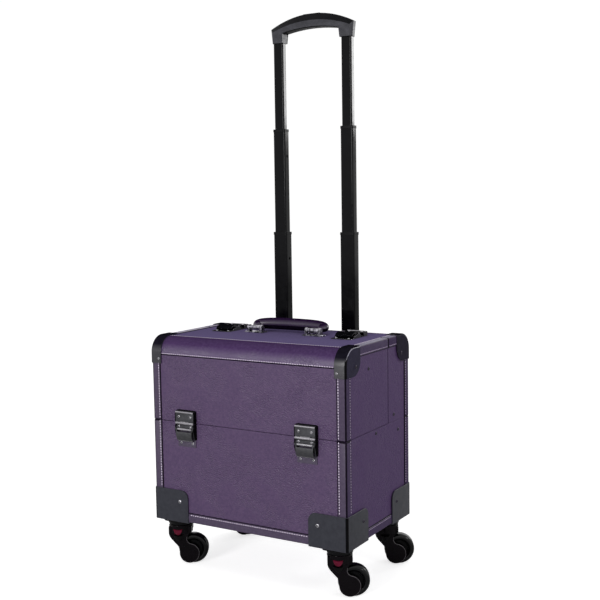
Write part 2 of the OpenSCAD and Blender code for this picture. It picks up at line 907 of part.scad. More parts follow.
// Plug in the foot of a tube, with the spring lock pin that shows in the next tube's hole
module foot_plug(w, d, room_w, room_d, z) {
    tube_solid(room_w - 2 * slide_gap, room_d - 2 * slide_gap, tube_r - tube_t, z - shoulder_h, z);
    tube_solid(w - 2 * tube_t - 0.2, d - 2 * tube_t - 0.2, tube_r - tube_t, z - eps, z + insert_h);
    translate([tube_x - room_w / 2 + slide_gap, tube_y, z + stage_lap - lock_drop])
        rotate([0, 90, 0]) cylinder(r = lock_r, h = room_w / 2);
}

module trolley_sleeves() {
    color(gloss_black) on_casters() both_sides() difference() {
        hollow_tube(sleeve_w, sleeve_d, sleeve_t, sleeve_low, sleeve_top);
        lock_hole(sleeve_w, tube1_low + stage_lap - lock_drop);
    }
}

holder_w = sleeve_w + 14;
holder_y1 = tube_y + sleeve_d / 2 + 2.5;
foot_holder = [-4, 26];
neck_holder = [-40, -14];

// Block that clasps a sleeve against the back board
module sleeve_holder(z0, z1) {
    difference() {
        block([tube_x - holder_w / 2, panel_y, z0], [tube_x + holder_w / 2, holder_y1, z1]);
        tube_solid(sleeve_w + 0.1, sleeve_d + 0.1, tube_r, max(z0, sleeve_low) - eps, z1 + 1);
    }
}

module sleeve_brackets() {
    color(black_steel) on_casters() both_sides() {
        sleeve_holder(sleeve_low + foot_holder[0], sleeve_low + foot_holder[1]);
        sleeve_holder(sleeve_top + neck_holder[0], sleeve_top + neck_holder[1]);
        collar(sleeve_w, sleeve_d, tube1_w, tube1_d, sleeve_top);
    }
}

module stage1_tubes() {
    color(gloss_black) on_casters() both_sides() difference() {
        hollow_tube(tube1_w, tube1_d, tube_t, tube1_low, joint1_z);
        lock_hole(tube1_w, tube1_low + stage_lap - lock_drop);
        lock_hole(tube1_w, joint1_z - lock_drop);
    }
}

module stage1_fittings() {
    color(black_steel) on_casters() both_sides() {
        collar(tube1_w, tube1_d, tube2_w, tube2_d, joint1_z);
        foot_plug(tube1_w, tube1_d, sleeve_w - 2 * sleeve_t, sleeve_d - 2 * sleeve_t, tube1_low);
    }
}

module stage2_tubes() {
    color(gloss_black) on_casters() both_sides() difference() {
        hollow_tube(tube2_w, tube2_d, tube_t, tube2_low, joint2_z);
        lock_hole(tube2_w, tube2_low + stage_lap - lock_drop);
        lock_hole(tube2_w, joint2_z - lock_drop);
    }
}

module stage2_fittings() {
    color(black_steel) on_casters() both_sides() {
        collar(tube2_w, tube2_d, tube3_w, tube3_d, joint2_z);
        foot_plug(tube2_w, tube2_d, tube1_w - 2 * tube_t, tube1_d - 2 * tube_t, tube2_low);
    }
}

socket_h = 16;

module stage3_tubes() {
    color(gloss_black) on_casters() both_sides() difference() {
        hollow_tube(tube3_w, tube3_d, tube_t, tube3_low, foot_z + socket_h);
        lock_hole(tube3_w, tube3_low + stage_lap - lock_drop);
    }
}

module stage3_plugs() {
    color(black_steel) on_casters() both_sides()
        foot_plug(tube3_w, tube3_d, tube2_w - 2 * tube_t, tube2_d - 2 * tube_t, tube3_low);
}

corner_h = grip_h - crown_rise;
lean = grip_half_w - grip_foot_w;
crown_r = (grip_half_w * grip_half_w + crown_rise * crown_rise) / (2 * crown_rise);
hand_rise = 6;
hand_r = (hand_half_w * hand_half_w + hand_rise * hand_rise) / (2 * hand_rise);
button_gap = 0.3;

// Front view of the pull grip in X and Z, from the foot of its legs
module pull_outline() {
    difference() {
        intersection() {
            polygon([[-grip_foot_w, 0], [-grip_half_w - lean, 2 * corner_h],
                     [grip_half_w + lean, 2 * corner_h], [grip_foot_w, 0]]);
            translate([0, grip_h - crown_r]) circle(crown_r, $fn = 180);
        }
        intersection() {
            translate([-hand_half_w, -1]) square([2 * hand_half_w, grip_h]);
            translate([0, grip_h - bar_h - hand_r]) circle(hand_r, $fn = 180);
        }
    }
}

module pull_grip() {
    slot_w = button_w / 2 + button_gap;
    slot_d = button_d / 2 + button_gap;
    color(gunmetal) on_casters() difference() {
        translate([0, tube_y + grip_d / 2, foot_z]) rotate([90, 0, 0]) linear_extrude(grip_d) pull_outline();
        both_sides() tube_solid(tube3_w + 0.1, tube3_d + 0.1, tube_r, foot_z - 1, foot_z + socket_h + 0.1);
        block([-slot_w, tube_y - slot_d, foot_z + grip_h - button_h - button_travel - button_gap],
              [slot_w, tube_y + slot_d, foot_z + grip_h + 5]);
    }
}

module release_button() {
    color(black_steel) on_casters()
        block([-button_w / 2, tube_y - button_d / 2, foot_z + grip_h - button_h],
              [button_w / 2, tube_y + button_d / 2, foot_z + grip_h - 0.2]);
}

// Lift-out tray on the rails of the lower box

module lift_out_tray() {
    x1 = inner_w - lining_gap - lining_t - tray_gap;
    y0 = -inner_d + lining_gap + lining_t + tray_gap;
    y1 = seam_y - tray_gap;
    color(lining_cloth) on_casters() difference() {
        block([-x1, y0, rail_z], [x1, y1, rail_z + tray_h]);
        for (cell = [0:2]) {
            w = (2 * x1 - 4 * tray_t) / 3;
            translate([-x1 + tray_t + cell * (w + tray_t), y0 + tray_t, rail_z + tray_t])
                cube([w, y1 - y0 - 2 * tray_t, tray_h]);
        }
    }
}

// Casters

caster_plate_t = 5.5;
flare_h = 6;
swivel_gap = 1;
kingpin_len = 12;
hub_w = tyre_w - 2;
cheek_in = tyre_w / 2 + 0.8;
fork_half = cheek_in + cheek_t;
plate_low = caster_h - fitting_t - caster_plate_t;
race_low = plate_low - flare_h;
neck_top = race_low - swivel_gap;
neck_low = 56;
axle_skin = 1.5;
axle_room = 0.5;
shoulder_r = 5;

// Places children at a caster's swivel axis
module at_caster(sx, sy) {
    translate([sx * (half_w - caster_inset), sy * (half_d - caster_inset), 0]) children();
}

// Places children at the wheel's centre, with Y along the axle
module at_wheel(sx, sy) {
    at_caster(sx, sy) rotate([0, 0, heading]) translate([trail, 0, wheel_r]) children();
}

module caster_plates() {
    color(black_steel) for (sx = [-1, 1], sy = [-1, 1]) at_caster(sx, sy) {
        translate([0, 0, plate_low]) linear_extrude(caster_plate_t) tube_outline(plate_w, plate_w, 8);
        translate([0, 0, race_low]) cylinder(r1 = neck_r + 0.5, r2 = plate_w / 2, h = flare_h + eps);
        translate([0, 0, race_low - kingpin_len]) cylinder(r = kingpin_r, h = kingpin_len + 1);
        translate([0, 0, race_low - swivel_gap + 0.3]) cylinder(r = neck_r - 5, h = swivel_gap);
    }
}

// Side view of the fork: X is the way the caster trails, Y is up from the floor
cheek_x = trail - 6.5;
cheek_z = wheel_r - 6.5;
cheek_r = wheel_r - 8.5;

module fork_outline() {
    translate([cheek_x, cheek_z]) circle(cheek_r, $fn = 96);
    polygon([[-neck_r, neck_low + 12], [-neck_r, neck_low - 1], [-neck_r + 1.6, neck_low - 6],
             [-neck_r + 5, neck_low - 11], [trail - 26, wheel_r + 6], [cheek_x - cheek_r + 0.5, cheek_z + 4],
             [cheek_x, cheek_z], [cheek_x + 4, cheek_z + cheek_r - 0.7], [trail - 6, wheel_r + 11.6],
             [trail - 9, wheel_r + 14], [trail - 10.6, wheel_r + 18], [trail - 10, wheel_r + 23],
             [trail - 7, wheel_r + 28], [neck_r - 0.5, neck_low + 2], [neck_r - 0.5, neck_low + 12]]);
}

module fork(sx, sy) {
    color(black_steel) difference() {
        at_caster(sx, sy) rotate([0, 0, heading]) difference() {
            union() {
                translate([0, 0, neck_low]) cylinder(r = neck_r, h = neck_top - neck_low);
                translate([0, fork_half, 0]) rotate([90, 0, 0]) linear_extrude(2 * fork_half) fork_outline();
            }
            translate([0, 0, neck_top - kingpin_len - 2]) cylinder(r = kingpin_r + run_gap, h = far);
        }
        at_wheel(sx, sy) rotate([90, 0, 0]) {
            cylinder(r = wheel_r + 1.6, h = 2 * cheek_in, center = true);
            translate([0, 0, -fork_half - 1])
                cylinder(r = axle_r + run_gap, h = 2 * fork_half + 1 - axle_skin);
        }
    }
}

// The axle is pushed in from the far cheek and stops in a blind bore in the near one
module axle(sx, sy) {
    color(zinc) at_wheel(sx, sy) rotate([90, 0, 0])
        translate([0, 0, axle_room - fork_half])
            cylinder(r = axle_r, h = 2 * (fork_half - axle_room) - axle_skin);
}

// Tyre moulded on its hub, with rounded shoulders
module wheel(sx, sy) {
    s = shoulder_r;
    color(gloss_black) at_wheel(sx, sy) rotate([90, 0, 0]) rotate_extrude($fn = 72) {
        translate([axle_r + run_gap, -hub_w / 2]) square([hub_r - axle_r, hub_w]);
        translate([hub_r - 1, -tyre_w / 2]) square([wheel_r - s - hub_r + 1, tyre_w]);
        translate([hub_r, -tyre_w / 2 + s]) square([wheel_r - hub_r, tyre_w - 2 * s]);
        for (y = [-1, 1]) translate([wheel_r - s, y * (tyre_w / 2 - s)]) circle(s, $fn = 40);
    }
}

module fork_fl() { fork(-1, -1); }
module axle_fl() { axle(-1, -1); }
module tyre_fl() { wheel(-1, -1); }
module fork_fr() { fork(1, -1); }
module axle_fr() { axle(1, -1); }
module tyre_fr() { wheel(1, -1); }
module fork_bl() { fork(-1, 1); }
module axle_bl() { axle(-1, 1); }
module tyre_bl() { wheel(-1, 1); }
module fork_br() { fork(1, 1); }
module axle_br() { axle(1, 1); }
module tyre_br() { wheel(1, 1); }

base_front_panel();
base_back_panel();
base_side_panels();
base_floor_panel();
base_edge_frame();
base_lining();
rear_shell_panel();
rear_side_panels();
rear_edge_frame();
rear_lining();
joining_straps();
bottom_brackets();
rear_corner_caps();
base_rivets();
front_latch_bases();
front_hinge_pins();
front_lever_left();
front_lever_right();
top_latch_keepers();
lid_shell_panel();
lid_side_panels();
lid_edge_frame();
lid_lining();
lid_corner_caps();
lid_rivets();
lid_hinge_leaves();
top_latch_bases();
top_lever_left();
top_lever_right();
top_hook_left();
top_hook_right();
handle_brackets();
handle_loops();
carry_grip();
trolley_sleeves();
sleeve_brackets();
stage1_tubes();
stage1_fittings();
stage2_tubes();
stage2_fittings();
stage3_tubes();
stage3_plugs();
pull_grip();
release_button();
lift_out_tray();
caster_plates();
fork_fl();
axle_fl();
tyre_fl();
fork_fr();
axle_fr();
tyre_fr();
fork_bl();
axle_bl();
tyre_bl();
fork_br();
axle_br();
tyre_br();
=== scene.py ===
# %% [markdown]
# # Rolling grooming case
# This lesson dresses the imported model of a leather-covered grooming case: boards, edge strips, stitches,
# pressed steel corners, latches, a padded carry handle, a telescopic pull handle and swivel casters.
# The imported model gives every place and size, in metres, so each piece here is made where it belongs.
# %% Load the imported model
import json
import math

import bmesh
import bpy
from mathutils import Matrix, Vector


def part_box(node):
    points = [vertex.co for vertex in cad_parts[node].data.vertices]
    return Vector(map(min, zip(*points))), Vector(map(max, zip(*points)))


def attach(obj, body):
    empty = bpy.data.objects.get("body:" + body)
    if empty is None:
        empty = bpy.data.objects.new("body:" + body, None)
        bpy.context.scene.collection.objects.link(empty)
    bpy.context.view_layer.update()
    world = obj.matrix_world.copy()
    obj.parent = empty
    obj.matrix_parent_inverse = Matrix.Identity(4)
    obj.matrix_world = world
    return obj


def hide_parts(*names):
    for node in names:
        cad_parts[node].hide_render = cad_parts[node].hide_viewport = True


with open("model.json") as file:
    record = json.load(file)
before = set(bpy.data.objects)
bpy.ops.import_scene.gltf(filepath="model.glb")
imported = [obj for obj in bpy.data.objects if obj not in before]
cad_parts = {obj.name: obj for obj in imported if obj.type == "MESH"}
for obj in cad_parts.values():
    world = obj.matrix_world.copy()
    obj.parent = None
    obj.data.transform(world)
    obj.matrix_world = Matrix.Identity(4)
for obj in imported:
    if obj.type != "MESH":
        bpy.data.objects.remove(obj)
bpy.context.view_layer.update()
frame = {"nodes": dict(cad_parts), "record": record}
nodes = frame["nodes"]

# %% [markdown]
# ## Sizes that several pieces share
# All in millimetres, as a case maker would write them. X runs along the front, the front faces -Y, and Z is
# the height above the floor. The lid meets the lower box at SPLIT and the rear section at SEAM. ROLL is the
# radius over which the boards bend, STRIP the width of an edge strip and SHEET the steel of the fittings.
# %% Shared sizes
HALF_W = 190.0
HALF_D = 115.0
BOTTOM = 85.0
SPLIT = BOTTOM + 175.0
TOP = BOTTOM + 320.0
SEAM = 36.0
ROLL = 27.0
STRIP = 16.0
STRIP_T = 1.2
SHEET = 1.5
GAP = 0.3
print("case without casters, mm:", 2 * HALF_W, 2 * HALF_D, TOP - BOTTOM)

# %% [markdown]
# ## Camera
# The camera stands to the front right of the case, a little above its lid. Its place and lens were worked
# out from the straight edges of the photograph, so the render can be laid over it.
# %% Camera
CAMERA_AT = Vector((0.9240, -1.4725, 0.6364))
YAW, PITCH, ROLL_ANGLE = (math.radians(a) for a in (30.942, 5.657, -0.862))


def put_in_scene(name, data):
    obj = bpy.data.objects.new(name, data)
    bpy.context.scene.collection.objects.link(obj)
    return obj


forward = Vector((-math.sin(YAW) * math.cos(PITCH), math.cos(YAW) * math.cos(PITCH), -math.sin(PITCH)))
level = Vector((math.cos(YAW), math.sin(YAW), 0))
upright = level.cross(forward)
right = math.cos(ROLL_ANGLE) * level + math.sin(ROLL_ANGLE) * upright
up = -math.sin(ROLL_ANGLE) * level + math.cos(ROLL_ANGLE) * upright
camera_data = bpy.data.cameras.new("camera")
camera_data.lens = 60.79
camera_data.sensor_width = 36.0
camera = put_in_scene("camera", camera_data)
camera.matrix_world = Matrix.Translation(CAMERA_AT) @ Matrix((right, up, -forward)).transposed().to_4x4()
bpy.context.scene.camera = camera
bpy.context.scene.view_settings.view_transform = "Standard"
print("camera to case, m:", round((CAMERA_AT - Vector((0, 0, 0.25))).length, 3))

# %% [markdown]
# ## Making materials
# Every finish is a Principled shader with a few pattern nodes. One function adds a node and its links, and
# one turns the sRGB hex colours that a maker would read off a chart into the linear values of the shader.
# %% Material helpers
def colour(code):
    parts = [int(code[i:i + 2], 16) / 255 for i in (1, 3, 5)]
    return [p / 12.92 if p <= 0.04045 else ((p + 0.055) / 1.055) ** 2.4 for p in parts] + [1.0]


def add_node(material, kind, inputs=None, **settings):
    made = material.node_tree.nodes.new(kind)
    for key, value in settings.items():
        setattr(made, key, value)
    for key, value in (inputs or {}).items():
        if isinstance(value, bpy.types.NodeSocket):
            material.node_tree.links.new(value, made.inputs[key])
        else:
            made.inputs[key].default_value = value
    return made


def new_finish(name, base, roughness, metallic=0.0, **more):
    material = bpy.data.materials.new(name)
    material.use_nodes = True
    shader = material.node_tree.nodes["Principled BSDF"]
    shader.inputs["Base Color"].default_value = colour(base)
    shader.inputs["Roughness"].default_value = roughness
    shader.inputs["Metallic"].default_value = metallic
    for key, value in more.items():
        shader.inputs[key.replace("_", " ")].default_value = value
    return material, shader


def link(material, output, shader, socket):
    material.node_tree.links.new(output, shader.inputs[socket])


print("half grey in linear values:", round(colour("#808080")[0], 3))

# %% [markdown]
# ## Wear and relief
# No real surface has one even colour and gloss. Four helpers give what the finishes below are made of: colour
# that drifts, gloss that handling made uneven, gloss that fades where a surface turns up, and fine relief.
# %% Wear and relief
def mottled(material, shader, dark, light, size_mm):
    """Colour that drifts between two shades over patches of size_mm. Gives the object's coordinates."""
    place = add_node(material, "ShaderNodeTexCoord").outputs["Object"]
    noise = add_node(material, "ShaderNodeTexNoise",
                     {"Vector": place, "Scale": 1000 / size_mm, "Detail": 3.0, "Roughness": 0.6})
    ramp = add_node(material, "ShaderNodeValToRGB", {"Fac": noise.outputs["Fac"]})
    for element, position, shade in zip(ramp.color_ramp.elements, (0.35, 0.65), (dark, light)):
        element.position = position
        element.color = colour(shade)
    link(material, ramp.outputs["Color"], shader, "Base Color")
    return place


def worn_gloss(material, shader, place, size_mm, low, high):
    """Roughness that varies between low and high over patches of size_mm, from handling."""
    noise = add_node(material, "ShaderNodeTexNoise",
                     {"Vector": place, "Scale": 1000 / size_mm, "Detail": 4.0})
    spread = add_node(material, "ShaderNodeMapRange",
                      {"Value": noise.outputs["Fac"], "From Min": 0.3, "From Max": 0.7,
                       "To Min": low, "To Max": high})
    link(material, spread.outputs["Result"], shader, "Roughness")


def dull_towards_top(material, glossy, low, high):
    """The gloss fades out while the upward part of the surface's own normal goes from low to high."""
    turned = add_node(material, "ShaderNodeTexCoord").outputs["Normal"]
    parts = add_node(material, "ShaderNodeSeparateXYZ", {"Vector": turned})
    fade = add_node(material, "ShaderNodeMapRange",
                    {"Value": parts.outputs["Z"], "From Min": low, "From Max": high,
                     "To Min": glossy, "To Max": 0.0})
    link(material, fade.outputs["Result"], material.node_tree.nodes["Principled BSDF"], "Specular IOR Level")


def raise_pattern(material, shader, height, depth_mm):
    bump = add_node(material, "ShaderNodeBump",
                    {"Height": height, "Distance": depth_mm / 1000, "Strength": 1.0})
    link(material, bump.outputs["Normal"], shader, "Normal")


# %% [markdown]
# ## Embossed leathercloth
# The boards are covered with PU leathercloth: a smooth coating pressed with a pebbled roller while warm. To
# the eye it is a soft sheen broken into grains. The pebbles of the real cloth are about 1 mm across, too fine
# for this picture, so they are drawn about 2 mm across. Cell noise gives the pebbles and their creases. The
# roller presses them deeper in some places than in others, so a large, slow noise scales their depth.
# %% Leathercloth
ROLLER_PATCH_MM = 48


def leathercloth(name, dark, light, pebble_mm, depth_mm, roughness, gloss=0.3):
    material, shader = new_finish(name, light, roughness, Specular_IOR_Level=gloss)
    place = mottled(material, shader, dark, light, 4.0)
    bend = add_node(material, "ShaderNodeTexNoise", {"Vector": place, "Scale": 1000 / (pebble_mm * 2.5)})
    drift = add_node(material, "ShaderNodeVectorMath",
                     {0: bend.outputs["Color"], 3: pebble_mm / 1500}, operation="SCALE")
    spot = add_node(material, "ShaderNodeVectorMath", {0: place, 1: drift.outputs[0]}, operation="ADD")
    cells = add_node(material, "ShaderNodeTexVoronoi",
                     {"Vector": spot.outputs[0], "Scale": 1000 / pebble_mm, "Smoothness": 0.6},
                     feature="SMOOTH_F1")
    fine = add_node(material, "ShaderNodeTexNoise",
                    {"Vector": place, "Scale": 1000 / (pebble_mm * 0.4), "Detail": 2.0})
    height = add_node(material, "ShaderNodeMath", {0: cells.outputs["Distance"], 1: -1.0},
                      operation="MULTIPLY")
    whole = add_node(material, "ShaderNodeMath",
                     {0: fine.outputs["Fac"], 1: 0.25, 2: height.outputs[0]}, operation="MULTIPLY_ADD")
    patch = add_node(material, "ShaderNodeTexNoise",
                     {"Vector": place, "Scale": 1000 / ROLLER_PATCH_MM, "Detail": 1.0})
    pressed = add_node(material, "ShaderNodeMapRange",
                       {"Value": patch.outputs["Fac"], "From Min": 0.4, "From Max": 0.62,
                        "To Min": 0.35, "To Max": 1.6})
    uneven = add_node(material, "ShaderNodeMath", {0: whole.outputs[0], 1: pressed.outputs["Result"]},
                      operation="MULTIPLY")
    raise_pattern(material, shader, uneven.outputs[0], depth_mm)
    worn_gloss(material, shader, place, 30.0, roughness - 0.04, roughness + 0.06)
    return material


# Deep violet on the front, with a low sheen
board_leather = leathercloth("pebbled_pu_leathercloth", "#4c3a5b", "#574364", 2.2, 0.85, 0.38)
# Painted light: a lighter, bluer copy for the top faces, where the light falls on them, and dull
top_leather_light = leathercloth("pebbled_pu_leathercloth_painted_light_top", "#6d618b", "#786c97", 2.1, 0.4, 0.6, 0.0)
# Stretched over the roll and rubbed glossy on its lower half
band_leather = leathercloth("glossy_pu_leathercloth_band", "#48345b", "#533e66", 2.0, 0.65, 0.32)
dull_towards_top(band_leather, 0.75, 0.1, 0.6)
# Nearly matt on the sides
side_leather = leathercloth("pebbled_pu_leathercloth_side", "#4c385f", "#554068", 2.1, 0.35, 0.5, 0.12)
# The folded strips have a finer grain and read as smooth lines
strip_leather = leathercloth("fine_grain_edge_leathercloth", "#453a50", "#4f435a", 1.4, 0.18, 0.42)
# Painted shade: a darker copy for the strips' side faces
side_strip_shade = leathercloth("fine_grain_edge_leathercloth_painted_shade_side", "#3f3150", "#48395a", 1.4, 0.18, 0.5, 0.1)
# Painted light: a lighter copy for the strips' top faces
top_strip_light = leathercloth("fine_grain_edge_leathercloth_painted_light_top", "#625a78", "#6e6686", 1.4, 0.18, 0.4)
# Painted shade, nearly black: in the seams and notches, on the upright folds of the strips and on the cords
# beside them
shade_leather = leathercloth("painted_shade_leathercloth", "#0d0714", "#140c1c", 1.4, 0.1, 0.5, 0.05)
# The padded grip is polished by hands: a long highlight in front, and a dark painted shade below
grip_leather = leathercloth("glossy_padded_pu_leather", "#22132e", "#2e1b3b", 1.6, 0.12, 0.33)
dull_towards_top(grip_leather, 0.55, 0.4, 0.8)
grip_under_shade = leathercloth("padded_pu_leather_painted_shade_below", "#0a0510", "#110919", 1.6, 0.12, 0.5, 0.02)
# The tray's cloth is charcoal, with a shallow grain
tray_board = leathercloth("tray_leathercloth", "#29262d", "#343037", 1.9, 0.2, 0.55)
print("leather finishes:", len(bpy.data.materials))

# %% [markdown]
# ## Painted and plated metal
# Powder-coated steel is a dielectric paint with a slight orange peel. The latches are black nickel over
# steel, so they are metal, dark and satin, with the brushing of the sheet. The handle fittings are zinc
# alloy, polished and then plated.
# %% Painted and plated metal
ORANGE_PEEL_MM = 1.2
BRUSHING_MM = 0.6


def grained(name, dark, light, roughness, gloss, patch_mm, grain_mm, depth_mm, wear_mm):
    """Paint or plastic with a fine grain in relief."""
    material, shader = new_finish(name, light, roughness, Specular_IOR_Level=gloss)
    place = mottled(material, shader, dark, light, patch_mm)
    grain = add_node(material, "ShaderNodeTexNoise",
                     {"Vector": place, "Scale": 1000 / grain_mm, "Detail": 2.0})
    raise_pattern(material, shader, grain.outputs["Fac"], depth_mm)
    worn_gloss(material, shader, place, wear_mm, roughness - 0.05, roughness + 0.06)
    return material


def powder_coat(name, dark, light, roughness, gloss=0.25):
    return grained(name, dark, light, roughness, gloss, 9.0, ORANGE_PEEL_MM, 0.05, 12.0)


def plated(name, dark, light, roughness, metal=1.0):
    material, shader = new_finish(name, light, roughness, metal)
    place = mottled(material, shader, dark, light, 5.0)
    stretch = add_node(material, "ShaderNodeMapping", {"Vector": place, "Scale": (0.06, 1.0, 1.0)})
    lines = add_node(material, "ShaderNodeTexNoise",
                     {"Vector": stretch.outputs[0], "Scale": 1000 / BRUSHING_MM, "Detail": 3.0})
    raise_pattern(material, shader, lines.outputs["Fac"], 0.02)
    worn_gloss(material, shader, place, 8.0, roughness - 0.05, roughness + 0.08)
    return material


# A cool dark grey with broad, soft reflections
bracket_paint = powder_coat("powder_coated_steel", "#2b2c34", "#32333b", 0.4)
# Glossier on the caps, with a band of light under the roll, and dull on their tops
cap_paint = powder_coat("gloss_powder_coated_steel", "#16141d", "#1c1a24", 0.3)
dull_towards_top(cap_paint, 0.8, 0.12, 0.5)
# Painted shade: copies of the paint for the side plates of the lid and the rear caps
side_cap_shade = powder_coat("satin_powder_coat_painted_shade_side", "#2b283a", "#322f42", 0.4, 0.03)
rear_cap_shade = powder_coat("satin_powder_coat_painted_shade_rear", "#181524", "#1e1a2b", 0.4, 0.03)
# Painted highlight on the edge where the wrap meets the side plate, and painted shade on the bends
cap_edge_highlight = powder_coat("painted_highlight_cap_edge", "#8f8c9c", "#a19eae", 0.35, 0.3)
bend_shade_paint = powder_coat("painted_shade_on_bends", "#050507", "#08080b", 0.35, 0.05)
# Latch sheet is gunmetal grey and satin on its plates, with a black painted shade on its flanks
latch_nickel = plated("black_nickel_steel", "#36363a", "#414145", 0.38, 0.6)
lever_nickel = plated("black_nickel_lever_steel", "#3d3d41", "#474749", 0.4, 0.6)
flank_shade_nickel = plated("painted_shade_latch_flank", "#060508", "#0a090c", 0.45, 0.0)
tail_nickel = plated("lacquered_latch_tail", "#40384a", "#4c4356", 0.45, 0.3)
# Painted shade: the top latches, of the same sheet, drawn near black
top_latch_shade = powder_coat("top_latch_painted_shade", "#0a0a0d", "#121216", 0.3, 0.0)
# Bright nickel on the pins and rods, and a painted highlight on the latch bars, lips and top latch edges
bright_nickel_and_highlight = plated("bright_nickel_and_painted_highlight", "#918f94", "#a5a3a8", 0.28)
# Screws on the front glint, and those on the sides take a dark painted shade
screw_steel = plated("nickel_plated_screws", "#b4b2b8", "#d2d0d6", 0.25)
side_screw_shade = plated("painted_shade_side_screws", "#2a2434", "#383042", 0.35, 0.5)
# Painted reflections: light and dark blotches on the cast zinc stand for what its plating mirrors
zinc_painted_reflections = plated("zinc_alloy_painted_reflections", "#2a282e", "#bab7c0", 0.22)
print("finishes so far:", len(bpy.data.materials))

# %% [markdown]
# ## Plastics and cloth
# The pull tubes are aluminium, dyed black and sealed, so the eye sees a black plastic-like gloss and they are
# made the same way. Forks, collars and grips are moulded nylon, PP and TPE with a fine spark-eroded grain.
# Linings and thread are fibres: matt, with a pale fuzz at the edges.
# %% Plastics and cloth
SPARK_GRAIN_MM = 0.7


def moulded(name, dark, light, roughness, gloss=0.25, depth_mm=0.03):
    return grained(name, dark, light, roughness, gloss, 11.0, SPARK_GRAIN_MM, depth_mm, 10.0)


def cloth(name, dark, light, thread_mm):
    material, shader = new_finish(name, light, 0.9, Sheen_Weight=0.3, Sheen_Roughness=0.5)
    place = mottled(material, shader, dark, light, 3.0)
    fibre = add_node(material, "ShaderNodeTexNoise",
                     {"Vector": place, "Scale": 1000 / thread_mm, "Detail": 4.0, "Roughness": 0.7})
    raise_pattern(material, shader, fibre.outputs["Fac"], 0.25)
    return material


# Smooth black tube with sharp lines of light along it
tube_black = moulded("gloss_black_anodised_aluminium", "#040406", "#060609", 0.12, 0.12, depth_mm=0.001)
# Silky black nylon of the collars, and the deeper black painted shade of the latch pads
collar_plastic = moulded("moulded_black_nylon", "#070709", "#0c0c0e", 0.35, 0.1)
latch_shade_pad = moulded("painted_shade_latch_pad", "#030304", "#060607", 0.5, 0.05)
# The pull grip is grey with a soft sheen, and its touch pads are black, a black that also paints shade under
# it
grip_plastic = moulded("moulded_grey_pp", "#35353a", "#404046", 0.34, 0.2)
grip_dark = moulded("soft_touch_black_tpe_and_painted_shade", "#0b0b0e", "#101013", 0.4, 0.06)
# Forks look nearly black, with a painted highlight line on their edges beside the wheel
fork_plastic = moulded("moulded_brown_black_nylon", "#080508", "#0c080c", 0.16, 0.09, depth_mm=0.008)
fork_rim_highlight = moulded("painted_highlight_nylon_rim", "#4b464a", "#5a5559", 0.3, 0.3, depth_mm=0.008)
shield_plastic = moulded("moulded_black_shield", "#050405", "#080708", 0.2, 0.12)
# A clear coloured insert reads as a spot of deep red
crimson_plastic = moulded("clear_crimson_insert", "#52061e", "#660b2b", 0.15, 0.2, depth_mm=0.008)
# A tyre cast in a polished mould looks wet
tyre_rubber = moulded("gloss_polyurethane_tyre", "#010102", "#020203", 0.07, 0.25, depth_mm=0.001)
hub_plastic = moulded("moulded_hub_nylon", "#030304", "#050506", 0.25, 0.08)
# Felt swallows light. The thread is pale, with a darker painted shade on the sides
lining_felt = cloth("needle_felt_lining", "#242128", "#322e36", 0.9)
thread = cloth("lavender_polyester_thread", "#d6c6df", "#ecdff2", 0.4)
side_thread_shade = cloth("lavender_polyester_thread_painted_shade_side", "#a795b4", "#bba9c6", 0.4)
# The floor of a screw's cross lies in its own shadow
recess_black = new_finish("screw_recess_shadow", "#060607", 0.7)[0]
print("finishes:", len(bpy.data.materials))

# %% [markdown]
# ## Making meshes
# Most pieces are one of three forms: a slab cut to an outline, a skin stretched over a row of rings, or a
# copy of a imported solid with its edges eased. A form is a list of points in millimetres and a list of
# faces, so forms can be mirrored and joined before they become one object.
# %% Forms
def slab(outline, low, high, place):
    """outline: points (u, v) in order. place turns (u, v, w) into (x, y, z)."""
    n = len(outline)
    points = [place(u, v, w) for w in (low, high) for u, v in outline]
    faces = [list(range(n))[::-1], list(range(n, 2 * n))]
    faces += [[i, (i + 1) % n, n + (i + 1) % n, n + i] for i in range(n)]
    return points, faces


def skin(rings, closed=False):
    """Rings of equally many points, joined in order. closed joins the last ring to the first."""
    n = len(rings[0])
    points = [p for ring in rings for p in ring]
    count = len(rings)
    faces = []
    for i in range(count if closed else count - 1):
        a, b = i * n, (i + 1) % count * n
        faces += [[a + k, a + (k + 1) % n, b + (k + 1) % n, b + k] for k in range(n)]
    if not closed:
        faces += [list(range(n))[::-1], list(range((count - 1) * n, count * n))]
    return points, faces


def joined(*forms):
    points, faces = [], []
    for some_points, some_faces in forms:
        start = len(points)
        points += list(some_points)
        faces += [[start + i for i in face] for face in some_faces]
    return points, faces


def flipped(form, axis):
    points, faces = form
    turned = [tuple(-c if i == axis else c for i, c in enumerate(p)) for p in points]
    return turned, [face[::-1] for face in faces]


def both_sides(form):
    return joined(form, flipped(form, 0))


def arc(centre, radius, start, end, steps):
    """Points (u, v) from angle start to end, in degrees."""
    angles = [math.radians(start + (end - start) * i / steps) for i in range(steps + 1)]
    return [(centre[0] + radius * math.cos(a), centre[1] + radius * math.sin(a)) for a in angles]


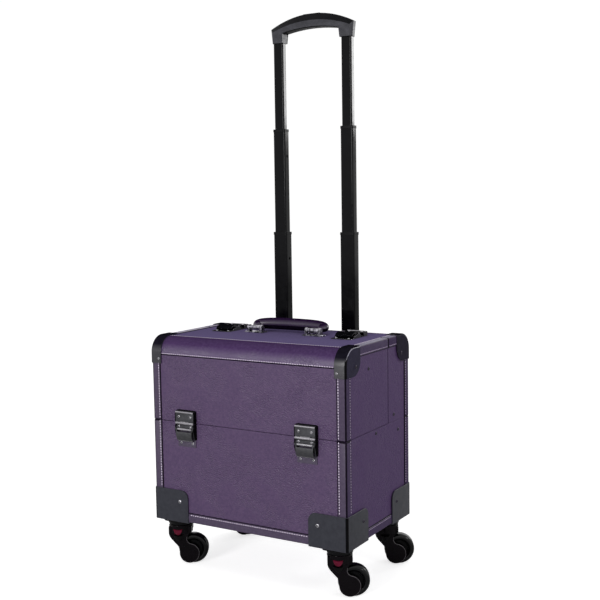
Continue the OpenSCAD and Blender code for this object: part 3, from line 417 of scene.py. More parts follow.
# %% [markdown]
# ## From a form to a piece
# Edges of real parts are never quite sharp and catch the light, so a narrow bevel eases them. Every piece
# rides on a body of the imported model and may stand for imported nodes.
# %% Pieces
def dress(obj, finish, body, slot, stands_for=(), ease=0.0, steps=2, smooth=35.0):
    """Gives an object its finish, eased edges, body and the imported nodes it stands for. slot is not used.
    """
    obj.data.materials.clear()
    obj.data.materials.append(finish)
    obj.data.polygons.foreach_set("use_smooth", [True] * len(obj.data.polygons))
    obj.data.set_sharp_from_angle(angle=math.radians(smooth))
    if ease:
        bevel = obj.modifiers.new("eased edges", "BEVEL")
        bevel.width = ease / 1000
        bevel.segments = steps
        bevel.limit_method = "ANGLE"
        bevel.angle_limit = math.radians(smooth)
        bevel.use_clamp_overlap = True
        bevel.harden_normals = True
    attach(obj, body)
    if stands_for:
        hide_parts(*stands_for)
    return obj


def merged(mesh):
    """A working copy of a mesh, in which points that lie on each other are one."""
    soft = bmesh.new()
    soft.from_mesh(mesh)
    bmesh.ops.remove_doubles(soft, verts=soft.verts, dist=1e-6)
    return soft


def make(name, form, finish, body, slot, stands_for=(), **more):
    points, faces = form
    mesh = bpy.data.meshes.new(name)
    mesh.from_pydata([Vector(p) / 1000 for p in points], [], faces)
    soft = merged(mesh)
    bmesh.ops.recalc_face_normals(soft, faces=soft.faces)
    soft.to_mesh(mesh)
    soft.free()
    return dress(put_in_scene(name, mesh), finish, body, slot, stands_for, **more)


def further_finish(obj, finish, chosen):
    """Gives a further finish to the faces whose middle, in millimetres, and normal are chosen."""
    obj.data.materials.append(finish)
    number = len(obj.data.materials) - 1
    picked = [face for face in obj.data.polygons if chosen(face.center * 1000, face.normal)]
    for face in picked:
        face.material_index = number
    return len(picked)


def repaint(node, finish):
    """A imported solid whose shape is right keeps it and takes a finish."""
    nodes[node].data.materials.clear()
    nodes[node].data.materials.append(finish)


# %% [markdown]
# ## The outline of the case
# Seen from the side, the lid and the rear section are halves of one outline: up the face, round a 27 mm roll
# and along the top to the seam. Boards, strips, bands, stitches and piping all follow it, so it is one
# function, and the lid and the rear section are made in one loop.
# %% Outline
BOARD_T = 5.0
FACE_Y = HALF_D - STRIP_T
SIDE_X = HALF_W - STRIP_T
INNER_W = SIDE_X - BOARD_T
ROLL_STEPS = 14
# Side of the case (-1 front, 1 back), name of the section and body that carries it
SECTIONS = ((-1, "lid", "lid"), (1, "rear", "base"))


def side_path(sign, z_low, y_end, inset):
    """From z_low up the front (sign -1) or the back (1), round the roll and along the top to y_end. Gives
    (y, z, ny, nz), with the normal outward."""
    radius = ROLL - inset
    y0, z1 = sign * (HALF_D - inset), TOP - inset
    path = [(y0, z_low, sign, 0.0)]
    for i in range(ROLL_STEPS + 1):
        a = math.pi / 2 * i / ROLL_STEPS
        path.append((y0 - sign * (radius - radius * math.cos(a)), z1 - radius + radius * math.sin(a),
                     sign * math.cos(a), math.sin(a)))
    path.append((y_end, z1, 0.0, 1.0))
    return path


def upper_path(sign, above_split, off_seam, inset):
    """The side path of the lid (sign -1) or of the rear section (1), off_seam short of the seam."""
    return side_path(sign, SPLIT + above_split, SEAM + sign * off_seam, inset)


def board_path(sign, inset):
    """The lid leaves a gap above the lower box, and the rear section stands on it."""
    return upper_path(sign, -sign * GAP, GAP, inset)


def bent_board(path, thickness, half_width):
    """A board of that thickness under the path."""
    outer = [(y, z) for y, z, ny, nz in path]
    inner = [(y - thickness * ny, z - thickness * nz) for y, z, ny, nz in path]
    return slab(outer + inner[::-1], -half_width, half_width, lambda u, v, w: (w, u, v))


print("outline points:", len(board_path(-1, 0)))

# %% [markdown]
# ## Leather-covered boards
# Each face of the case is a 5 mm board with the cloth folded over its edges, so a covered edge is round
# and never sharp. The boards stand back by the thickness of the edge strips.
# %% Boards
def on_front(u, v, w):
    return u, -w, v


def on_side(u, v, w):
    return w, u, v


def rectangle(u0, v0, u1, v1):
    return [(u0, v0), (u1, v0), (u1, v1), (u0, v1)]


def faces_up(middle, normal):
    return normal.z > 0.9


def at_seam(middle, normal):
    return abs(middle.y - SEAM) < 1


folded = {"ease": 0.9, "steps": 3}
foot_z, head_z = BOTTOM + STRIP_T, SPLIT - GAP
lower_board = slab(rectangle(-INNER_W, foot_z, INNER_W, head_z), FACE_Y - BOARD_T, FACE_Y, on_front)
make("lower_front_board", lower_board, board_leather, "base", "front_leather", ["base_front_panel"], **folded)
make("lower_back_board", flipped(lower_board, 1), board_leather, "base", "front_leather", ["base_back_panel"],
     **folded)
lower_side = slab(rectangle(-FACE_Y, foot_z, FACE_Y, head_z), SIDE_X - BOARD_T, SIDE_X, on_side)
make("lower_side_boards", both_sides(lower_side), side_leather, "base", "side_leather", ["base_side_panels"],
     **folded)
for sign, name, body in SECTIONS:
    path = board_path(sign, STRIP_T)
    cover = make(name + "_rolled_board", bent_board(path, BOARD_T, INNER_W), board_leather, body,
                 "front_leather", [name + "_shell_panel"], **folded)
    outline = [(y, z) for y, z, ny, nz in path] + [(path[-1][0], path[0][1])]
    sides = make(name + "_side_boards", both_sides(slab(outline, SIDE_X - BOARD_T, SIDE_X, on_side)),
                 side_leather, body, "side_leather", [name + "_side_panels"], **folded)
    # Painted shade on the board ends at the seam
    further_finish(sides, shade_leather, at_seam)
    print(cover.name, "faces up:", further_finish(cover, top_leather_light, faces_up))
repaint("base_floor_panel", side_leather)

# %% [markdown]
# ## Edge strips
# A folded strip of leathercloth over a thin angle covers every outer edge of the box. Its section is an
# angle with a round outer corner and thin tips, swept along the edge. The fold of an upright strip and the
# notches at the split and at the seam take a dark painted shade, which draws dark lines there.
# %% Edge strips
CORNER_R = 2.2
TIP = 0.45
NOTCH = 1.0
NOTCH_RUN = 1.8
# Points (a, d): a in from the side face, d in from the front, back or top face
STRIP_SECTION = ([(STRIP, TIP), (STRIP - TIP, 0.0)] + arc((CORNER_R, CORNER_R), CORNER_R, 270, 180, 6)
                 + [(0.0, STRIP - TIP), (TIP, STRIP), (STRIP_T, STRIP), (STRIP_T, STRIP_T), (STRIP, STRIP_T)])


def shifted(station, towards):
    """The station of a path moved by NOTCH_RUN towards its neighbour."""
    step = Vector(towards[:2]) - Vector(station[:2])
    moved = Vector(station[:2]) + step.normalized() * NOTCH_RUN
    return (*moved, *station[2:])


def corner_strip(path):
    """An angle along the path. Its end rings are sunk, so that two strips meet in a notch."""
    stations = [path[0], shifted(path[0], path[1]), *path[1:-1], shifted(path[-1], path[-2]), path[-1]]
    rings = []
    for station in stations:
        y, z, ny, nz = station
        sunk = NOTCH if station in (path[0], path[-1]) else 0.0
        rings.append([(HALF_W - max(a, sunk), y - max(d, sunk) * ny, z - max(d, sunk) * nz)
                      for a, d in STRIP_SECTION])
    return skin(rings)


def faces_sideways(middle, normal):
    return abs(normal.x) > 0.9


def on_upright_corner(middle, normal):
    return abs(normal.x) > 0.1 and abs(normal.y) > 0.1 and abs(normal.z) < 0.3


def in_notch(middle, normal):
    """At the split or at the seam, where two edge strips meet."""
    return abs(middle.z - SPLIT) < 2.1 or abs(middle.y - SEAM) < 2.1


uprights = [corner_strip([(sign * HALF_D, BOTTOM, sign, 0), (sign * HALF_D, SPLIT - GAP, sign, 0)])
            for sign in (-1, 1)]
foot_front = slab(STRIP_SECTION, -HALF_W + 1, HALF_W - 1, lambda a, d, w: (w, -HALF_D + d, BOTTOM + a))
foot_side = slab(STRIP_SECTION, -HALF_D + 1, HALF_D - 1, lambda a, d, w: (HALF_W - d, w, BOTTOM + a))
lower_strips = joined(both_sides(joined(*uprights, foot_side)), foot_front, flipped(foot_front, 1))
all_strips = [make("lower_edge_strips", lower_strips, strip_leather, "base", "edge_leather",
                   ["base_edge_frame"])]
for sign, name, body in SECTIONS:
    upper_strips = both_sides(corner_strip(board_path(sign, 0)))
    all_strips.append(make(name + "_edge_strips", upper_strips, strip_leather, body, "edge_leather",
                           [name + "_edge_frame"]))
for strips in all_strips:
    # Painted shade on the sides, and painted light on the tops
    further_finish(strips, side_strip_shade, faces_sideways)
    further_finish(strips, top_strip_light, faces_up)
    # Painted shade on the upright folds and in the notches
    print(strips.name, "corner faces:", further_finish(strips, shade_leather, on_upright_corner))
    further_finish(strips, shade_leather, in_notch)

# %% [markdown]
# ## Roll bands
# A wider band of the same cloth is sewn over each roll, from the front or back face to the top. It lies on
# the board and stands a little proud of it. Its lower half is rubbed glossy, and the gloss fades out upward.
# %% Roll bands
BAND_LIFT = 0.55
BAND_DROP = 2.2
BAND_REACH = 2.5
band_half = HALF_W - STRIP + 0.2
for sign, name, body in SECTIONS:
    path = side_path(sign, TOP - ROLL - BAND_DROP, sign * (HALF_D - ROLL - BAND_REACH), STRIP_T - BAND_LIFT)
    band = make(name + "_roll_band", bent_board(path, BAND_LIFT + 0.2, band_half), band_leather, body,
                "front_leather", ease=0.3)
    print(band.name, "width, mm:", round(1000 * band.dimensions.x, 1))

# %% [markdown]
# ## One stitch
# Lockstitch in a light lavender thread: 3.5 mm of thread shows, then a 1 mm hole. The real thread is 0.6 mm
# thick and is drawn 1.5 mm thick so that it shows. A stitch is swollen in its middle and dips into the cloth.
# %% Stitch
STITCH, PITCH_MM, THREAD_R = 3.5, 4.5, 0.75
STITCH_RINGS = ((-1, 0.2, -0.3), (-0.55, 0.9, 0.2), (0, 1.0, 0.3), (0.55, 0.9, 0.2), (1, 0.2, -0.3))


def stitch(middle, along, out):
    """Each ring: place along the stitch, share of the thread's radius, and rise over the cloth."""
    across = along.cross(out)
    rings = []
    for s, r, rise in STITCH_RINGS:
        centre = middle + along * (s * STITCH / 2) + out * (rise * THREAD_R)
        rings.append([tuple(centre + (across * math.cos(q) + out * 0.7 * math.sin(q)) * r * THREAD_R)
                      for q in (math.radians(60 * k) for k in range(6))])
    return skin(rings)


def stitch_row(points, outs):
    """Stitches along a line of points, with the outward direction at each."""
    forms, carry = [], PITCH_MM / 2
    for p, q, out in zip(points, points[1:], outs):
        step = Vector(q) - Vector(p)
        length = step.length
        if length < 1e-6:
            continue
        while carry < length:
            forms.append(stitch(Vector(p) + step * (carry / length), step / length, Vector(out)))
            carry += PITCH_MM
        carry -= length
    return joined(*forms)


def line_row(a, b, out):
    return stitch_row([a, b], [out])


print("stitches to a metre:", round(1000 / PITCH_MM))

# %% [markdown]
# ## Rows of stitches
# Rows run along every strip, 2.4 mm inside its edge, and along both edges of the bands. At the bottom they
# stop at the brackets. On the sides the thread takes a darker painted shade.
# %% Rows of stitches
INSET = STRIP - 2.4
ROW_X = HALF_W - INSET
ROW_HALF = ROW_X - 3
# The low rows end a few millimetres short of the bottom brackets
BRACKET_END, BRACKET_TOP = 74, 58


def front_row(path):
    return stitch_row([(ROW_X, y, z) for y, z, ny, nz in path], [(0, ny, nz) for y, z, ny, nz in path[1:]])


def side_row(path):
    """The row on the side face, a strip's width inside the outline."""
    inner = [(y - INSET * ny, z - INSET * nz) for y, z, ny, nz in path]
    return stitch_row([(HALF_W, y, z) for y, z in inner], [(1, 0, 0)] * (len(inner) - 1))


def across_row(half, y, z, out):
    return line_row((-half, y, z), (half, y, z), out)


def upper_rows(sign):
    path = upper_path(sign, 3, 2, 0)
    return joined(both_sides(joined(front_row(path), side_row(path))),
                  across_row(ROW_HALF, sign * (FACE_Y + BAND_LIFT), TOP - ROLL - 1.2, (0, sign, 0)),
                  across_row(ROW_HALF, sign * (HALF_D - ROLL - 1.4), TOP - STRIP_T + BAND_LIFT, (0, 0, 1)))


def lower_rows():
    low, high, bottom_row = BOTTOM + BRACKET_TOP, SPLIT - 2, BOTTOM + INSET
    side_y, side_end = HALF_D - INSET, HALF_D - BRACKET_END
    corner = joined(line_row((ROW_X, -HALF_D, low), (ROW_X, -HALF_D, high), (0, -1, 0)),
                    line_row((HALF_W, -side_y, low), (HALF_W, -side_y, high), (1, 0, 0)))
    side = line_row((HALF_W, -side_end, bottom_row), (HALF_W, side_end, bottom_row), (1, 0, 0))
    return joined(both_sides(joined(corner, flipped(corner, 1), side)),
                  across_row(HALF_W - BRACKET_END, -HALF_D, bottom_row, (0, -1, 0)),
                  across_row(HALF_W - BRACKET_END, HALF_D, bottom_row, (0, 1, 0)))


def at_side(middle, normal):
    return abs(middle.x) > HALF_W - 2


lid_stitches = make("lid_stitches", upper_rows(-1), thread, "lid", "edge_leather", smooth=60)
case_stitches = make("case_stitches", joined(upper_rows(1), lower_rows()), thread, "base", "edge_leather",
                     smooth=60)
for rows in (lid_stitches, case_stitches):
    print(rows.name, "faces of the painted shade side rows:", further_finish(rows, side_thread_shade, at_side))

# %% [markdown]
# ## Cords of painted shade
# A dark cord of leathercloth lies where a strip or a band ends on its board. It is painted shade that stands
# for the shadow of the step between the two, and draws a dark line beside every row of stitches.
# %% Cords of painted shade
PIPE_R = 0.95
PIPE_INSET = STRIP + 0.5
PIPE_X = HALF_W - PIPE_INSET
PIPE_END = 0.6
# The low pipes end 1 mm behind the bottom brackets
LOW_START, SIDE_END, FRONT_END = 54, 46, 121


def pipe(points, outs):
    """A half-sunk cord along a line of points. outs gives the outward direction at each point."""
    rings = []
    for i, (p, out) in enumerate(zip(points, outs)):
        ahead = Vector(points[min(i + 1, len(points) - 1)]) - Vector(points[max(i - 1, 0)])
        across = ahead.normalized().cross(Vector(out))
        rings.append([tuple(Vector(p) + (across * math.cos(q) + Vector(out) * math.sin(q)) * PIPE_R)
                      for q in (math.radians(45 * k) for k in range(8))])
    return skin(rings)


def front_pipe(path):
    """Beside the strip on the face of the boards."""
    return pipe([(PIPE_X, y - STRIP_T * ny, z - STRIP_T * nz) for y, z, ny, nz in path],
                [(0, ny, nz) for y, z, ny, nz in path])


def side_pipe(path):
    inner = [(y - PIPE_INSET * ny, z - PIPE_INSET * nz) for y, z, ny, nz in path]
    return pipe([(SIDE_X, y, z) for y, z in inner], [(1, 0, 0)] * len(inner))


def straight_pipe(a, b, out):
    return pipe([a, b], [out, out])


def upper_shade_cords(sign):
    path = upper_path(sign, PIPE_END, PIPE_END, 0)
    y, z = sign * FACE_Y, TOP - ROLL - BAND_DROP - PIPE_R
    return joined(both_sides(joined(front_pipe(path), side_pipe(path))),
                  straight_pipe((-PIPE_X, y, z), (PIPE_X, y, z), (0, sign, 0)))


def lower_shade_cords():
    low, high, foot_line = BOTTOM + LOW_START, SPLIT - PIPE_END, BOTTOM + PIPE_INSET
    side_y = HALF_D - PIPE_INSET
    corner = joined(straight_pipe((PIPE_X, -FACE_Y, low), (PIPE_X, -FACE_Y, high), (0, -1, 0)),
                    straight_pipe((SIDE_X, -side_y, low), (SIDE_X, -side_y, high), (1, 0, 0)))
    side = straight_pipe((SIDE_X, -SIDE_END, foot_line), (SIDE_X, SIDE_END, foot_line), (1, 0, 0))
    front = straight_pipe((-FRONT_END, -FACE_Y, foot_line), (FRONT_END, -FACE_Y, foot_line), (0, -1, 0))
    return joined(both_sides(joined(corner, flipped(corner, 1), side)), front, flipped(front, 1))


make("lid_shade_cord", upper_shade_cords(-1), shade_leather, "lid", "edge_leather", smooth=60)
make("case_shade_cord", joined(upper_shade_cords(1), lower_shade_cords()), shade_leather, "base", "edge_leather", smooth=60)
print("shade cord radius, mm:", PIPE_R)

# %% [markdown]
# ## Bottom brackets
# Each bottom corner has a bracket pressed from 1.5 mm steel: a front and a side plate with a round free
# corner, bent over the case's edge and under its floor. The skin follows the bend, and the height of each
# ring gives the round corner.
# %% Bottom brackets
BRACKET, BRACKET_H, BRACKET_R = 70.0, 55.0, 13.0
SOFT_EDGE, BACK_EDGE = 0.4, 0.2


def rim_height(distance):
    """Height of the bracket's rim at that distance from its free end."""
    if distance >= BRACKET_R:
        return BRACKET_H
    return BRACKET_H - BRACKET_R + math.sqrt(max(0.0, BRACKET_R ** 2 - (BRACKET_R - distance) ** 2))


def bracket_ring(x, y, nx, ny, distance):
    """Section through the sheet at (x, y), where it faces (nx, ny)."""
    t, foot_end, rim = SHEET, BOTTOM - SHEET, BOTTOM + rim_height(distance)
    section = ((0, foot_end), (t - SOFT_EDGE, foot_end), (t, foot_end + SOFT_EDGE), (t, rim - SOFT_EDGE),
               (t - SOFT_EDGE, rim), (BACK_EDGE, rim), (0, rim - BACK_EDGE))
    return [(x + w * nx, y + w * ny, z) for w, z in section]


def bottom_bracket():
    turns = [math.radians(15 * i) for i in range(7)]
    free = [BRACKET_R * (1 - math.cos(a)) for a in turns]
    rings = [bracket_ring(HALF_W - BRACKET + s, -HALF_D, 0, -1, s) for s in free]
    rings += [bracket_ring(HALF_W - CORNER_R * (1 - math.sin(a)), -HALF_D + CORNER_R * (1 - math.cos(a)),
                           math.sin(a), -math.cos(a), BRACKET) for a in turns]
    rings += [bracket_ring(HALF_W, -HALF_D + BRACKET - s, 1, 0, s) for s in free[::-1]]
    floor_plate = slab(rectangle(HALF_W - BRACKET, -HALF_D, HALF_W, -HALF_D + BRACKET),
                       BOTTOM - SHEET, BOTTOM, lambda u, v, w: (u, v, w))
    return joined(skin(rings), floor_plate)


corner = bottom_bracket()
brackets = make("corner_brackets", both_sides(joined(corner, flipped(corner, 1))), bracket_paint, "base",
                "bracket_steel", ["bottom_brackets"])
# Painted shade on the bends
print("bracket bends:", further_finish(brackets, bend_shade_paint, on_upright_corner))

# %% [markdown]
# ## Top caps
# The upper corners have deep-drawn caps that follow the roll. A cap is a wrap of constant section along
# the roll, and a side plate with a large round lower corner. Its paint is glossy in front and dull on top.
# Its side plates and bends take painted shade, and the lid caps a painted highlight where wrap and plate
# meet.
# %% Top caps
CAP_W, CAP_D, CAP_H, CAP_R = 20.0, 49.0, 47.0, 24.0
CAP_BEND_R = 3.0
CAP_LIP = 3.6
RIM_HIDDEN = 1.6
PLATE_SHY = 0.02


def corner_cap():
    """The wrap's section is (a, d): a in from the side face, d in from the front or top face. The side
    plate's rim is hidden inside the wrap, and the plate is a hair thinner, so that no two faces coincide."""
    low, t = TOP + SHEET - CAP_H, SHEET
    path = [(-HALF_D, low, -1, 0)] + side_path(-1, TOP - ROLL, -HALF_D - SHEET + CAP_D, 0)[1:]
    section = ([(CAP_W, -t + SOFT_EDGE), (CAP_W - SOFT_EDGE, -t)]
               + arc((CAP_BEND_R - t, CAP_BEND_R - t), CAP_BEND_R, 270, 180, 6)
               + [(-t, CAP_LIP), (0.2, CAP_LIP), (0.2, 0.0), (CAP_W, 0.0)])
    wrap = skin([[(HALF_W - a, y - d * ny, z - d * nz) for a, d in section] for y, z, ny, nz in path])
    rim = [(y - RIM_HIDDEN * ny, z - RIM_HIDDEN * nz) for y, z, ny, nz in path]
    outline = rim + arc((path[-1][0] - CAP_R, low + CAP_R), CAP_R, 0, -90, 10)
    return joined(wrap, slab(outline, HALF_W, HALF_W + t - PLATE_SHY, on_side))


def on_highlit_edge(middle, normal):
    return 0.75 < abs(normal.x) < 0.98 and 0.25 < normal.z < 0.6


front_caps = both_sides(corner_cap())
cap_forms = (front_caps, flipped(front_caps, 1))
for (sign, name, body), form, side_shade in zip(SECTIONS, cap_forms, (side_cap_shade, rear_cap_shade)):
    caps = make(name + "_caps", form, cap_paint, body, "bracket_steel", [name + "_corner_caps"], ease=0.35)
    further_finish(caps, side_shade, faces_sideways)
    print(caps.name, "bends:", further_finish(caps, bend_shade_paint, on_upright_corner))
    if body == "lid":
        print("faces of the painted highlight edge:", further_finish(caps, cap_edge_highlight, on_highlit_edge))

# %% [markdown]
# ## Copies of imported solids
# Where the imported solid has the right shape it is copied, and its pressed or cast edges are eased, which
# catches the light along them. Its body is the imported one.
# %% Copies
slot_of = {part["node"]: part["material_slot"] for part in frame["record"]["subparts"]}
body_of = {n: b for b, members in frame["record"]["behaviour"]["bodies"].items() for n in members}


def eased_copy(node, finish, ease, **more):
    """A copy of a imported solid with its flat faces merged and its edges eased, which stands for it."""
    mesh = nodes[node].data.copy()
    soft = merged(mesh)
    bmesh.ops.dissolve_limit(soft, angle_limit=math.radians(0.5), verts=soft.verts, edges=soft.edges)
    soft.to_mesh(mesh)
    soft.free()
    obj = put_in_scene(node + "_eased", mesh)
    return dress(obj, finish, body_of[node], slot_of[node], [node], ease=ease, **more)


def highlight_edges(obj, finish):
    """The eased edges of an object take a finish of their own, here a painted highlight."""
    obj.data.materials.append(finish)
    obj.modifiers["eased edges"].material = len(obj.data.materials) - 1


print("packed nodes with a slot:", len(slot_of))

# %% [markdown]
# ## Latches
# A toggle latch is folded from black-nickel sheet. The bars that run across it, a bead at its far end, the
# hinge barrel and the front levers' lip take a painted highlight, its flanks a painted shade, and its tail is
# lacquered, so these faces take finishes of their own. The top latches take a near-black painted shade, with
# a painted highlight on their eased edges.
# %% Latches
BEAD_AT, BEAD_HALF, BARREL_HALF = 19.0, 2.0, 2.75
BAR_RISE = 5.6
TAIL_AT = SPLIT - 24
LIP_BELOW = 1000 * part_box("front_lever_left")[0][2] + 1.2


def is_bar(across, out):
    """across: from the joint line towards the keeper. out: above the board."""
    return (abs(across) < BARREL_HALF or abs(across - BEAD_AT) < BEAD_HALF) and out > BAR_RISE


def is_front_bar(middle, normal):
    return is_bar(middle.z - SPLIT, -middle.y - FACE_Y)


def is_top_bar(middle, normal):
    return is_bar(middle.y - SEAM, middle.z - TOP + STRIP_T)


def is_flank(middle, normal):
    return abs(normal.x) > 0.7


def is_tail(middle, normal):
    return middle.z < TAIL_AT and -middle.y - FACE_Y < 2.0


def is_lip(middle, normal):
    return middle.z < LIP_BELOW


latch_parts = (
    (latch_nickel, ((tail_nickel, is_tail), (bright_nickel_and_highlight, is_front_bar)),
     ("front_latch_bases", "lid_hinge_leaves")),
    (top_latch_shade, ((bright_nickel_and_highlight, is_top_bar),),
     ("top_latch_bases", "top_latch_keepers", "top_hook_left", "top_hook_right")),
    (lever_nickel, ((bright_nickel_and_highlight, is_lip),), ("front_lever_left", "front_lever_right")),
    (top_latch_shade, (), ("top_lever_left", "top_lever_right")))
for finish, further, members in latch_parts:
    for node in members:
        latch = eased_copy(node, finish, 0.28)
        counts = [further_finish(latch, other, chosen) for other, chosen in further]
        # Painted shade on the flanks, and painted highlight on the top latches' eased edges
        counts.append(further_finish(latch, flank_shade_nickel, is_flank))
        if finish is top_latch_shade:
            highlight_edges(latch, bright_nickel_and_highlight)
        print(node, "faces in further finishes:", counts)

# %% [markdown]
# ## Latch pads
# Each front latch lies in a black pad, a painted shade that shows as a dark rim round it. Its cheeks cover
# the latch's flanks and get lower towards the tail. The lid and the box carry a half each.
# %% Latch pads
PAD_T, CHEEK_GAP, CHEEK_OUT = 0.5, 0.15, 1.6
lever_low, lever_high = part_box("front_lever_right")
leaf_low, leaf_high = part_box("lid_hinge_leaves")
LATCH_X = 500 * (lever_low[0] + lever_high[0])
LATCH_HALF = 500 * (leaf_high[0] - leaf_low[0]) - LATCH_X


def latch_pad_half(plate, cheek):
    """plate: outline (u, v) of the right half. cheek: outline (v, w) of the cheek at its outer edge."""
    mirrored_plate = plate + [(-u, v) for u, v in plate[::-1]]
    base = slab(mirrored_plate, 0.0, PAD_T, lambda u, v, w: (u, -FACE_Y - w, SPLIT + v))
    wall = slab(cheek, LATCH_HALF + CHEEK_GAP, LATCH_HALF + CHEEK_OUT,
                lambda v, w, u: (u, -FACE_Y - w, SPLIT + v))
    points, faces = joined(base, both_sides(wall))
    return joined(*(([(x + at, y, z) for x, y, z in points], faces) for at in (-LATCH_X, LATCH_X)))


rim = LATCH_HALF + CHEEK_OUT
pad_halves = (
    ("keeper_pads", "lid", [(rim, 0.5), (rim, 19.5), (rim - 2.5, 22.2)],
     [(0.6, 0.0), (0.6, 5.4), (2.8, 7.8), (17, 7.6), (20.5, 5.4), (21.6, 0.0)]),
    ("latch_pads", "base", [(rim - 2.4, -22), (rim, -14), (rim, -0.5)],
     [(-0.6, 0.0), (-0.6, 5.4), (-3.6, 7.6), (-9, 8.4), (-14, 8.0), (-22, 5.4), (-27, 2.0), (-28, 0.0)]))
for name, body, plate, cheek in pad_halves:
    make(name, latch_pad_half(plate, cheek), latch_shade_pad, body, "latch_steel", ease=0.25)
print("latch half width, mm:", round(LATCH_HALF, 2))

# %% [markdown]
# ## Handle fittings and pins
# The fittings of the carry handle are die-cast zinc, tumbled and plated, so their edges are soft. Straps,
# hinge pins and axles are plain steel, whose imported shape is right as it is.
# %% Handle fittings
# The light and dark blotches of the zinc are painted reflections
for node in ("handle_brackets", "handle_loops"):
    eased_copy(node, zinc_painted_reflections, 0.7, steps=3)
for node in ("joining_straps", "front_hinge_pins", "axle_fl", "axle_fr", "axle_bl", "axle_br"):
    repaint(node, screw_steel)
print("handle brackets, mm:", [round(1000 * v, 1) for v in nodes["handle_brackets"].dimensions])

# %% [markdown]
# ## Finding the screws
# Pan-head screws with a cross recess hold the corner fittings and the latches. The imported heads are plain,
# so each is found as a loose piece of its node and made anew. A piece that is as thick as a head is a head,
# and the wider of its two faces lies on the sheet.
# %% Loose pieces
HEAD_H = 1.0


def loose_pieces(node):
    """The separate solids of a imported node, each as a list of points and faces in millimetres."""
    soft = merged(nodes[node].data)
    left, pieces = set(soft.verts), []
    while left:
        reached, todo = set(), [left.pop()]
        while todo:
            vertex = todo.pop()
            reached.add(vertex)
            near = {edge.other_vert(vertex) for edge in vertex.link_edges} & left
            left -= near
            todo += near
        ordered = sorted(reached, key=lambda v: v.index)
        number = {v: i for i, v in enumerate(ordered)}
        points = [tuple(v.co * 1000) for v in ordered]
        faces = [[number[v] for v in f.verts] for f in soft.faces if f.verts[0] in reached]
        pieces.append((points, faces))
    soft.free()
    return pieces


def screw_axis(points):
    """Middle of the seat, outward direction and radius if the piece is a screw head, else nothing."""
    low = [min(p[i] for p in points) for i in range(3)]
    high = [max(p[i] for p in points) for i in range(3)]
    span = [h - l for l, h in zip(low, high)]
    thin = span.index(min(span))
    if abs(span[thin] - HEAD_H) > 0.05:
        return None
    wide = 0 if thin else 1
    middle = [(l + h) / 2 for l, h in zip(low, high)]

    def reach(height):
        return max((abs(p[wide] - middle[wide]) for p in points if abs(p[thin] - height) < 0.1), default=0)

    outward = 1 if reach(low[thin]) > reach(high[thin]) else -1
    middle[thin] = low[thin] if outward > 0 else high[thin]
    direction = [0.0, 0.0, 0.0]
    direction[thin] = outward
    return Vector(middle), Vector(direction), span[wide] / 2


print("loose pieces on the lid:", len(loose_pieces("lid_rivets")))

# %% [markdown]
# ## Screws
# A head is turned from a profile, which gives its dome. The cross is four quarter flaps that stand a little
# above a dark floor, which is simpler than a cut and as sharp. Heads in the sides take a painted shade. Pins
# and bars between them are made as they are packed.
# %% Screws
RECESS_W = 0.55
FLAP_R, FLOOR_R, CROSS_R = 0.78, 0.66, 0.62
HEAD_KINDS = (("bright", screw_steel, False), ("dark", side_screw_shade, True))


def spun(profile, centre, axis, steps):
    """A closed profile of (radius, height) turned about an axis through centre."""
    axis = Vector(axis).normalized()
    side = axis.orthogonal().normalized()
    other = axis.cross(side)
    rings = []
    for k in range(steps):
        q = 2 * math.pi * k / steps
        out = side * math.cos(q) + other * math.sin(q)
        rings.append([tuple(Vector(centre) + out * r + axis * h) for r, h in profile])
    return skin(rings, closed=True)


def screw_head(seat, out, radius):
    """The dome round its recess, and the cross-shaped floor of the recess."""
    side = out.orthogonal().normalized()
    other = out.cross(side)
    w, tip = RECESS_W * radius / 2.4, radius * CROSS_R
    dome = [(radius, 0.0), (radius, 0.25), (radius * 0.93, 0.5), (radius * FLAP_R, 0.75),
            (radius * FLOOR_R, 0.86), (radius * FLOOR_R, 0.0)]
    outer = [p for p in arc((0, 0), radius * FLAP_R, 0, 90, 8) if min(p) > w]
    flap = [(w, w), (tip, w), *outer, (w, tip)]

    def at(u, v, h):
        return tuple(seat + side * u + other * v + out * h)

    def turned(a):
        return lambda u, v, h: at(u * math.cos(a) - v * math.sin(a), u * math.sin(a) + v * math.cos(a), h)

    flaps = [slab(flap, 0.2, 0.98, turned(math.radians(90 * quarter))) for quarter in range(4)]
    recess = slab(arc((0, 0), radius * FLOOR_R, 0, 348, 29), 0.05, 0.35, at)
    return joined(spun(dome, seat, out, 28), *flaps), recess


for node, body in (("base_rivets", "base"), ("lid_rivets", "lid")):
    pieces = [(form, screw_axis(form[0])) for form in loose_pieces(node)]
    seats = [found for form, found in pieces if found]
    rods = [form for form, found in pieces if not found]
    for kind, finish, sideways in HEAD_KINDS:
        made = [screw_head(*found) for found in seats if (abs(found[1].x) > 0.9) == sideways]
        make(node + "_" + kind + "_heads", joined(*(head for head, recess in made)), finish, body,
             "rivet_steel", [node], smooth=30)
        make(node + "_" + kind + "_recesses", joined(*(recess for head, recess in made)), recess_black, body,
             "rivet_steel")
    make(node + "_rods", joined(*rods), bright_nickel_and_highlight, body, "rivet_steel", [node], ease=0.15, smooth=30)
    print(node, "screw heads:", len(seats))

